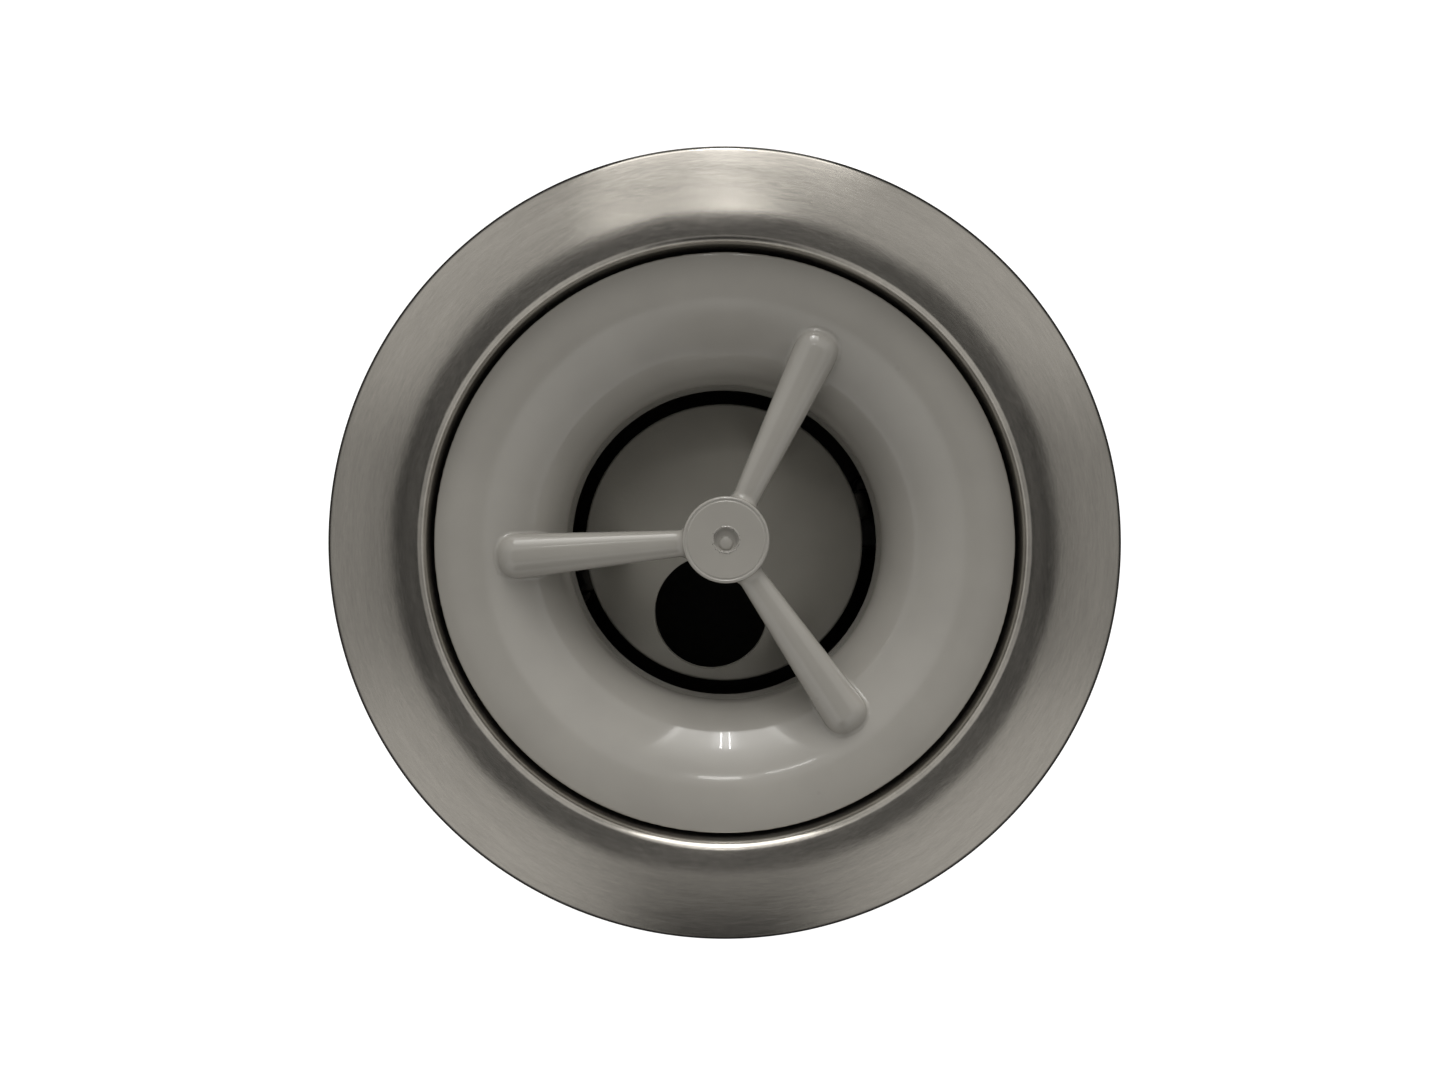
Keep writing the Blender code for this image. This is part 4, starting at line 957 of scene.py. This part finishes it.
def make_hopper():
    neck, neck_out, inner, outer, flange = 0.0450, 0.0480, 0.0605, 0.0640, 0.0710
    hopper = lathe([
        (neck, -0.0470, 0.0006), (0.0545, -0.0470, 0.0008), (0.0545, -0.0500, 0.0008),
        (neck_out, -0.0500, 0.0012), (neck_out, -0.0755, 0.0060), (outer, -0.0915, 0.0060),
        (outer, -0.1310, 0.0015), (flange, -0.1310, 0.0008), (flange, -0.1360, 0.0006),
        (inner, -0.1360, 0.0003), (inner, -0.0930, 0.0060), (neck, -0.0780, 0.0060),
    ], fillet_steps=8)
    nipple = spindle([
        (0.0, 0.0250), (0.0098, 0.0250, 0.0004), (0.0105, 0.0225, 0.0003), (0.0096, 0.0222, 0.0002),
        (0.0105, 0.0190, 0.0003), (0.0096, 0.0187, 0.0002),
        (0.0105, 0.0155, 0.0003), (0.0096, 0.0152, 0.0004),
        (0.0096, 0.0060, 0.0012), (0.0125, 0.0030, 0.0008), (0.0125, 0.0, 0.0), (0.0, 0.0),
    ], FINE)
    hopper = join(hopper, lay(nipple, (-1, 0, 0), (-0.0610, 0.0, INLET_Z)))
    hopper = cut(hopper, lay(bar(0.0075, 0.0, 0.0400, FINE), (-1, 0, 0), (-0.0540, 0.0, INLET_Z)))
    for angle in BOLT_ANGLES:
        hopper = drill(hopper, 0.0021, -0.140, -0.128, *polar(HOPPER_SCREW_R, angle))
    place(hopper, "hopper_shell", "hopper_paint", "hopper")

    for number, angle in enumerate(BOLT_ANGLES, 1):
        x, y = polar(HOPPER_SCREW_R, angle)
        head = slab(hexagon(0.0052), -0.1307, -0.1283, 0.0003)
        screw = shift(gather(threads(0.0018, -0.1426, -0.1308, 0.0008), head), x, y)
        place(screw, f"hopper_bolt_{number}", "zinc_steel", f"hopper_screw_{number}")

    reed = block((0.0060, 0.0140, 0.0120), (0.0515, 0.0, -0.0650), 0.0008, REED_ANGLE)
    rib = block((0.0064, 0.0020, 0.0090), (0.0515, 0.0, -0.0650), 0.0004, REED_ANGLE)
    place(gather(reed, rib), "reed_module", "black_plastic", "reed_switch")

    plug = spindle([
        (0.0, 0.0024), (0.0040, 0.0024, 0.0003), (0.0046, 0.0012, 0.0003), (0.0072, 0.0012, 0.0003),
        (0.0072, 0.0, 0.0002), (0.0, 0.0),
    ], FINE)
    place(lay(plug, (-1, 0, 0), (-0.0618, 0.0, INLET_Z)), "knock_out", "black_plastic", "inlet_plug")


def make_grinder():
    inner, outer = 0.0565, 0.0602
    ring = washer(inner, outer, -0.1357, -0.1120, 0.0003)
    for tooth in range(16):
        ring = cut(ring, block((0.0044, 0.0050, 0.0090), (inner, 0.0, -0.1327), 0.0005, 22.5 * tooth))
    place(ring, "shredder_band", "stainless", "shredder_ring")

    top = -0.1325
    table = lathe([
        (0.00665, top), (0.0480, top, 0.0020), (0.0500, top - 0.0004, 0.0020),
        (0.0555, top - 0.0004, 0.0004),
        (0.0555, top - 0.0030, 0.0004), (0.0140, top - 0.0030, 0.0006), (0.0120, top - 0.0080, 0.0004),
        (0.00665, top - 0.0080),
    ])
    for side in LUG_ANGLES:
        table = drill(table, 0.0028, -0.14, -0.128, *polar(IMPELLER_PIN_R, side))
        table = drill(table, 0.0040, -0.14, -0.128, *polar(0.0440, side + 90.0))
    # The turntable wears the darkened steel instead of its stainless slot: painted shade deep in the
    # chamber.
    dress(place(table, "turntable_plate", "stainless", "turntable", "rotor"), "worn_steel")

    nut = slab(hexagon(0.0164), top + 0.0003, top + 0.0068, 0.0006)
    nut = drill(nut, 0.00665, top - MM, top + 0.009, sides=FINE)
    place(nut, "turntable_hex_nut", "zinc_steel", "turntable_nut", "rotor")

    for number, side in enumerate(LUG_ANGLES, 1):
        x, y = polar(IMPELLER_PIN_R, side)
        heel = arc((0.0, 0.0), 0.0065, 90.0, 270.0, 24)
        toe = arc((0.0100, 0.0), 0.0050, -90.0, 90.0, 20)
        lug = slab(heel + toe, top + 0.0003, top + 0.0075, 0.0008)
        horn = slab(arc((0.0100, 0.0), 0.0046, -90.0, 90.0, 20), top + 0.0065, -0.1170, 0.0009)
        lug = drill(join(lug, horn), 0.0028, top - MM, top + 0.009)
        lug, body = shift(spin(lug, side + 90.0), x, y), f"impeller_{number}"
        place(lug, f"impeller_lug_{number}", "stainless", body, body)
        pin = spindle([
            (0.0, top + 0.0094), (0.0042, top + 0.0094, 0.0009), (0.0042, top + 0.0078, 0.0002),
            (0.0025, top + 0.0078), (0.0025, top - 0.0033), (0.0038, top - 0.0033, 0.0002),
            (0.0038, top - 0.0047, 0.0006), (0.0, top - 0.0047),
        ])
        place(shift(pin, x, y), f"swivel_pin_{number}", "zinc_steel", f"impeller_pin_{number}", "rotor")


# ---- shells and drain

def rounded_window(width, height, depth, radius=6 * MM):
    """A flat cutter with round corners."""
    half_w, half_h = width / 2 - radius, height / 2 - radius
    outline = []
    for side, end, start in ((1, 1, 0), (-1, 1, 90), (-1, -1, 180), (1, -1, 270)):
        outline += arc((side * half_w, end * half_h), radius, start, start + 90.0, 8)
    return slab(outline, -depth / 2, depth / 2, 0.0)


def make_shells():
    outer, inner, hole = 0.0730, 0.0715, 0.0645
    trim = lathe([
        (hole, -0.1240, 0.0003), (0.0700, -0.1240, 0.0010), (outer, -0.1275, 0.0040),
        (outer, -0.1335, 0.0003), (outer - 0.0006, -0.1338, 0.0002), (outer - 0.0006, -0.1346, 0.0002),
        (outer, -0.1349, 0.0003), (outer, -0.1975, 0.0003), (outer - 0.0006, -0.1978, 0.0002),
        (outer - 0.0006, -0.1986, 0.0002), (outer, -0.1989, 0.0003), (outer, -0.2050, 0.0006),
        (inner, -0.2050, 0.0003), (inner, -0.1270, 0.0020), (0.0700, -0.1255, 0.0010),
        (hole, -0.1255, 0.0003),
    ], SHELL)
    trim = cut(trim, face_x(rounded_window(0.0670, 0.0460, 0.0400), outer, OUTLET_Z))
    place(trim, "trim_cover", "trim_plastic", "trim_shell")


def make_discharge():
    gasket = washer(0.0172, 0.0210, 0.0, 0.0020, 0.0004)
    gasket = lay(gasket, (1, 0, 0), (0.0748, 0.0, OUTLET_Z))
    place(gasket, "outlet_gasket", "rubber", "discharge_gasket")

    start, bend_x, radius = 0.0771, 0.0815, 0.0200
    bend = arc((bend_x, OUTLET_Z - radius), radius, 90.0, 0.0, 28)
    down = [(bend_x + radius, z) for z in (-0.1880, -0.2050, -0.2128, -0.2150)]
    pipe = swept([(start, OUTLET_Z), *bend, *down], 0.0190, 0.0170)
    lip = lay(washer(0.0180, 0.0215, 0.0, 0.0018, 0.0004), (1, 0, 0), (start, 0.0, OUTLET_Z))
    pipe = join(pipe, lip)
    bead = shift(washer(0.0180, 0.0195, -0.2150, -0.2128, 0.0006), bend_x + radius)
    pipe = join(pipe, bead)
    place(pipe, "elbow_pipe", "black_plastic", "discharge_elbow")

    outline = [*arc((0.026, 0.0), 0.0070, -62.0, 62.0, 16), *arc((0.0, 0.0), 0.0220, 62.0, 118.0, 24),
               *arc((-0.026, 0.0), 0.0070, 118.0, 242.0, 16), *arc((0.0, 0.0), 0.0220, 242.0, 298.0, 24)]
    plate = slab(outline, 0.0, 0.0020, 0.0004)
    plate = drill(plate, 0.0196, -MM, 0.004, sides=FINE)
    for side in (-1, 1):
        plate = drill(plate, 0.0028, -MM, 0.004, side * CLAMP_SCREW_Y)
    place(face_x(plate, 0.0792, OUTLET_Z), "clamp_plate", "zinc_steel", "discharge_flange")
    for number, side in enumerate((-1, 1), 1):
        head = slab(hexagon(0.0074), 0.0155, 0.0185, 0.0004)
        head = cut(head, block((0.010, 0.0011, 0.0024), (0.0, 0.0, 0.0188), 0.0, 30.0))
        screw = gather(threads(0.0025, 0.0, 0.0156, 0.001), head)
        screw = lay(screw, (1, 0, 0), (0.0660, side * CLAMP_SCREW_Y, OUTLET_Z))
        place(screw, f"clamp_screw_{number}", "zinc_steel", f"discharge_screw_{number}")


# ---- motor

def make_motor():
    outer, groove, inner, top, bottom = 0.0670, 0.0663, 0.0650, -0.1893, -0.2970
    housing = lathe([
        (inner, top, 0.0003), (outer, top, 0.0006), (outer, -0.2110, 0.0010), (groove, -0.2118, 0.0006),
        (groove, -0.2138, 0.0006), (outer, -0.2146, 0.0010), (outer, -0.2850, 0.0010),
        (groove, -0.2858, 0.0006), (groove, -0.2878, 0.0006), (outer, -0.2886, 0.0010),
        (outer, bottom, 0.0006), (inner, bottom, 0.0003),
    ], SHELL)
    place(housing, "motor_can", "housing_paint", "motor_housing")

    floor, boss = -0.3310, -0.3030
    bell = lathe([
        (0.0640, -0.2973, 0.0003), (outer, -0.2973, 0.0005), (outer, -0.3290, 0.0040),
        (0.0630, BASE_Z, 0.0020),
        (0.0560, BASE_Z, 0.0004), (0.0555, BASE_Z + 0.0006, 0.0003), (0.0540, BASE_Z + 0.0006, 0.0003),
        (0.0535, BASE_Z, 0.0004), (0.0135, BASE_Z, 0.0010), (0.0100, BASE_Z + 0.0012, 0.0010),
        (0.0090, BASE_Z + 0.0030, 0.0004), (0.0090, -0.3175), (0.0153, -0.3175), (0.0153, boss, 0.0004),
        (0.0200, boss, 0.0006), (0.0200, floor, 0.0015), (0.0640, floor, 0.0015),
    ], SHELL)
    for angle in BOLT_ANGLES:
        x, y = polar(THROUGH_BOLT_R, angle)
        bell = join(bell, shift(bar(0.0058, BASE_Z + MM, -0.2983), x, y))
        bell = drill(bell, 0.0026, -0.345, -0.290, x, y)
        bell = drill(bell, 0.0043, -0.345, BASE_Z + 0.0063, x, y)
    bell = drill(bell, 0.0043, -0.345, -0.325, 0.0, RESET_Y)
    bell = cut(bell, block((0.0400, 0.0260, 0.0200), (0.0, WIRING_Y, BASE_Z), 0.0012))
    bell = cut(bell, lay(bar(0.0063, 0.0, 0.0200), (-1, 0, 0), (-0.0550, 0.0, GLAND_Z)))
    place(bell, "end_bell", "housing_paint", "lower_end_bell")

    for number, angle in enumerate(BOLT_ANGLES, 1):
        head = slab(hexagon(0.0068), BASE_Z + 0.0020, BASE_Z + 0.0060, 0.0004)
        head = drill(head, 0.0018, BASE_Z, BASE_Z + 0.0030)
        bolt = shift(gather(bar(0.0023, BASE_Z + 0.0059, -0.1850), head), *polar(THROUGH_BOLT_R, angle))
        place(bolt, f"long_bolt_{number}", "zinc_steel", f"through_bolt_{number}")

    button = spindle([
        (0.0, -0.3240), (0.0040, -0.3240, 0.0002), (0.0040, -0.3342, 0.0008), (0.0028, -0.3342, 0.0006),
        (0.0020, -0.3336, 0.0006), (0.0, -0.3336),
    ])
    place(shift(button, 0.0, RESET_Y), "reset_cap", "reset_red", "reset_button", "reset_button")

    plate = block((0.0394, 0.0254, 0.0034), (0.0, WIRING_Y, -0.3329), 0.0008)
    plate = drill(plate, 0.0023, -0.345, -0.325, 0.0, WIRING_SCREW_Y)
    plate = drill(plate, 0.0040, -0.345, -0.3327, 0.0, WIRING_SCREW_Y)
    for step in (-2, -1, 0, 1, 2):
        plate = cut(plate, block((0.0022, 0.0090, 0.0012), (step * 0.0055, 0.0370, -0.3346), 0.0003))
    place(plate, "wiring_plate", "zinc_steel", "wiring_cover")
    head = spindle([
        (0.0, -0.3329), (0.0037, -0.3330, 0.0002), (0.0037, -0.3336, 0.0005),
        (0.0018, -0.3343), (0.0, -0.3343),
    ])
    for turn in (35.0, 125.0):
        head = cut(head, block((0.0046, 0.0008, 0.0014), (0.0, 0.0, -0.3345), 0.0, turn))
    screw = shift(gather(bar(0.0019, -0.3331, -0.3252), head), 0.0, WIRING_SCREW_Y)
    place(screw, "wiring_plate_screw", "zinc_steel", "wiring_screw")

    nut = slab(hexagon(0.0164), 0.0, 0.0067, 0.0006)
    dome = spindle([
        (0.0, 0.0117), (0.0058, 0.0117, 0.0008), (0.0070, 0.0098, 0.0012),
        (0.0070, 0.0060, 0.0004), (0.0, 0.0060),
    ], FINE)
    body = bar(0.0060, -0.0063, 0.0010, FINE)
    gland = join(join(nut, dome), body)
    gland = drill(gland, 0.0045, -0.02, 0.02, sides=FINE)
    gland = lay(gland, (-1, 0, 0), (-0.0673, 0.0, GLAND_Z))
    place(gland, "cord_gland", "black_plastic", "cable_gland")


# ---- stage

def make_floor():
    """A plain pale floor that the unit stands on, and a backdrop of the same colour far round it."""
    floor_z, floor_r, wall_r, wall_z = BASE_Z - 0.0002, 1.0, 4.0, 4.0
    under, foot = floor_z - 0.02, floor_z - 0.03
    floor = spindle([(0.0, floor_z), (floor_r, floor_z), (floor_r, under), (0.0, under)], FINE)
    wall = lathe([(wall_r, wall_z), (wall_r, foot, 1.2), (floor_r - 0.1, foot)], FINE, False, 8)
    # The backdrop is seen behind the unit, but neither lights it nor is mirrored in it.
    wall.visible_diffuse = wall.visible_glossy = wall.visible_transmission = wall.visible_shadow = False
    for made, name, colour, glow in (
        (floor, "floor", (0.55, 0.55, 0.545), 0.90),
        (wall, "backdrop", (0.5, 0.5, 0.5), 0.98),
    ):
        made.name = name
        n = Nodes(f"pale_{name}", colour, 0.9)
        n.set(n.shader, {"Emission Color": (1.0, 1.0, 1.0, 1.0), "Emission Strength": glow})
        made.data.materials.append(n.material)


def area_light(name, tilt, azimuth, distance, size, radiance, colour=(1.0, 1.0, 1.0)):
    """A rectangular lamp facing the flange, tilted from straight above towards an azimuth."""
    data = bpy.data.lights.new(name, "AREA")
    data.shape = "RECTANGLE"
    data.size, data.size_y = size
    data.energy, data.color = radiance * pi * size[0] * size[1], colour
    made = bpy.data.objects.new(name, data)
    bpy.context.scene.collection.objects.link(made)
    towards = Vector((*polar(sin(radians(tilt)), azimuth), cos(radians(tilt))))
    made.location = towards * distance
    made.rotation_euler = towards.to_track_quat("Z", "Y").to_euler()


def make_world():
    """Soft room light: dark straight above and low on the -Y side, brighter in the corners."""
    world = bpy.data.worlds.new("studio")
    bpy.context.scene.world = world
    nodes = Tree(world)
    maths, times, fade = nodes.maths, nodes.times, nodes.fade
    direction = nodes.add("ShaderNodeTexCoord").outputs["Generated"]
    x, y, z = nodes.add("ShaderNodeSeparateXYZ", {0: direction}).outputs
    xx, yy = times(x, x), times(y, y)
    overhead = fade(maths("ADD", maths("MULTIPLY", xx, OVERHEAD_SQUASH), yy), *OVERHEAD)
    height = maths("ADD", fade(z, *HORIZON_RISE), fade(z, *HORIZON_FALL))
    height = maths("ADD", height, fade(z, *CEILING_RISE))
    level = maths("ADD", xx, yy)
    corner = maths("DIVIDE", times(xx, yy), maths("MAXIMUM", times(level, level), 0.001))
    corner = times(fade(corner, *CORNER_SPREAD), fade(z, *CORNER_HEIGHT))
    behind = maths("ADD", y, BACK_Y)
    back = fade(maths("ADD", times(xx, BACK_SQUASH), times(behind, behind)), *BACK)
    room = times(maths("ADD", height, corner), overhead, back)

    rise, run = sin(WINDOW_TILT), cos(WINDOW_TILT)
    ahead = maths("MAXIMUM", maths("ADD", times(y, rise), times(z, run)), 0.02)
    down = maths("DIVIDE", maths("SUBTRACT", times(y, run), times(z, rise)), ahead)
    aside = maths("ABSOLUTE", maths("DIVIDE", x, ahead))
    pane = times(fade(aside, *PANE_SIDES), fade(down, *PANE_FOOT))
    frame_glow = times(fade(aside, *FRAME_SIDES), fade(down, *FRAME_HEIGHT))
    window = times(pane, maths("ADD", fade(down, *WINDOW_LIGHT), frame_glow))
    strength = maths("ADD", room, window)
    nodes.set(nodes.tree.nodes["Background"], {"Color": (*WARM, 1.0), "Strength": strength})


def make_lights():
    """Two small lamps overhead and two bright bars in the middle of the window."""
    area_light("lamp_1", 28.0, 88.5, 1.18, (0.10, 0.05), 10.0, WARM)
    area_light("lamp_2", 29.0, 106.0, 1.18, (0.13, 0.025), 9.0, WARM)
    for side in (-1, 1):
        area_light(f"bar_{side}", 68.0, 90.0 + side * 1.25, 1.15, (0.006, 0.44), 60.0)
    bpy.context.scene.view_settings.view_transform = "Standard"


make_camera()
dress_frame()
make_sink_flange()
make_feed_cover()
make_baffle()
make_sleeve()
make_mounting()
make_hopper()
make_grinder()
make_shells()
make_discharge()
make_motor()
make_floor()
make_world()
make_lights()
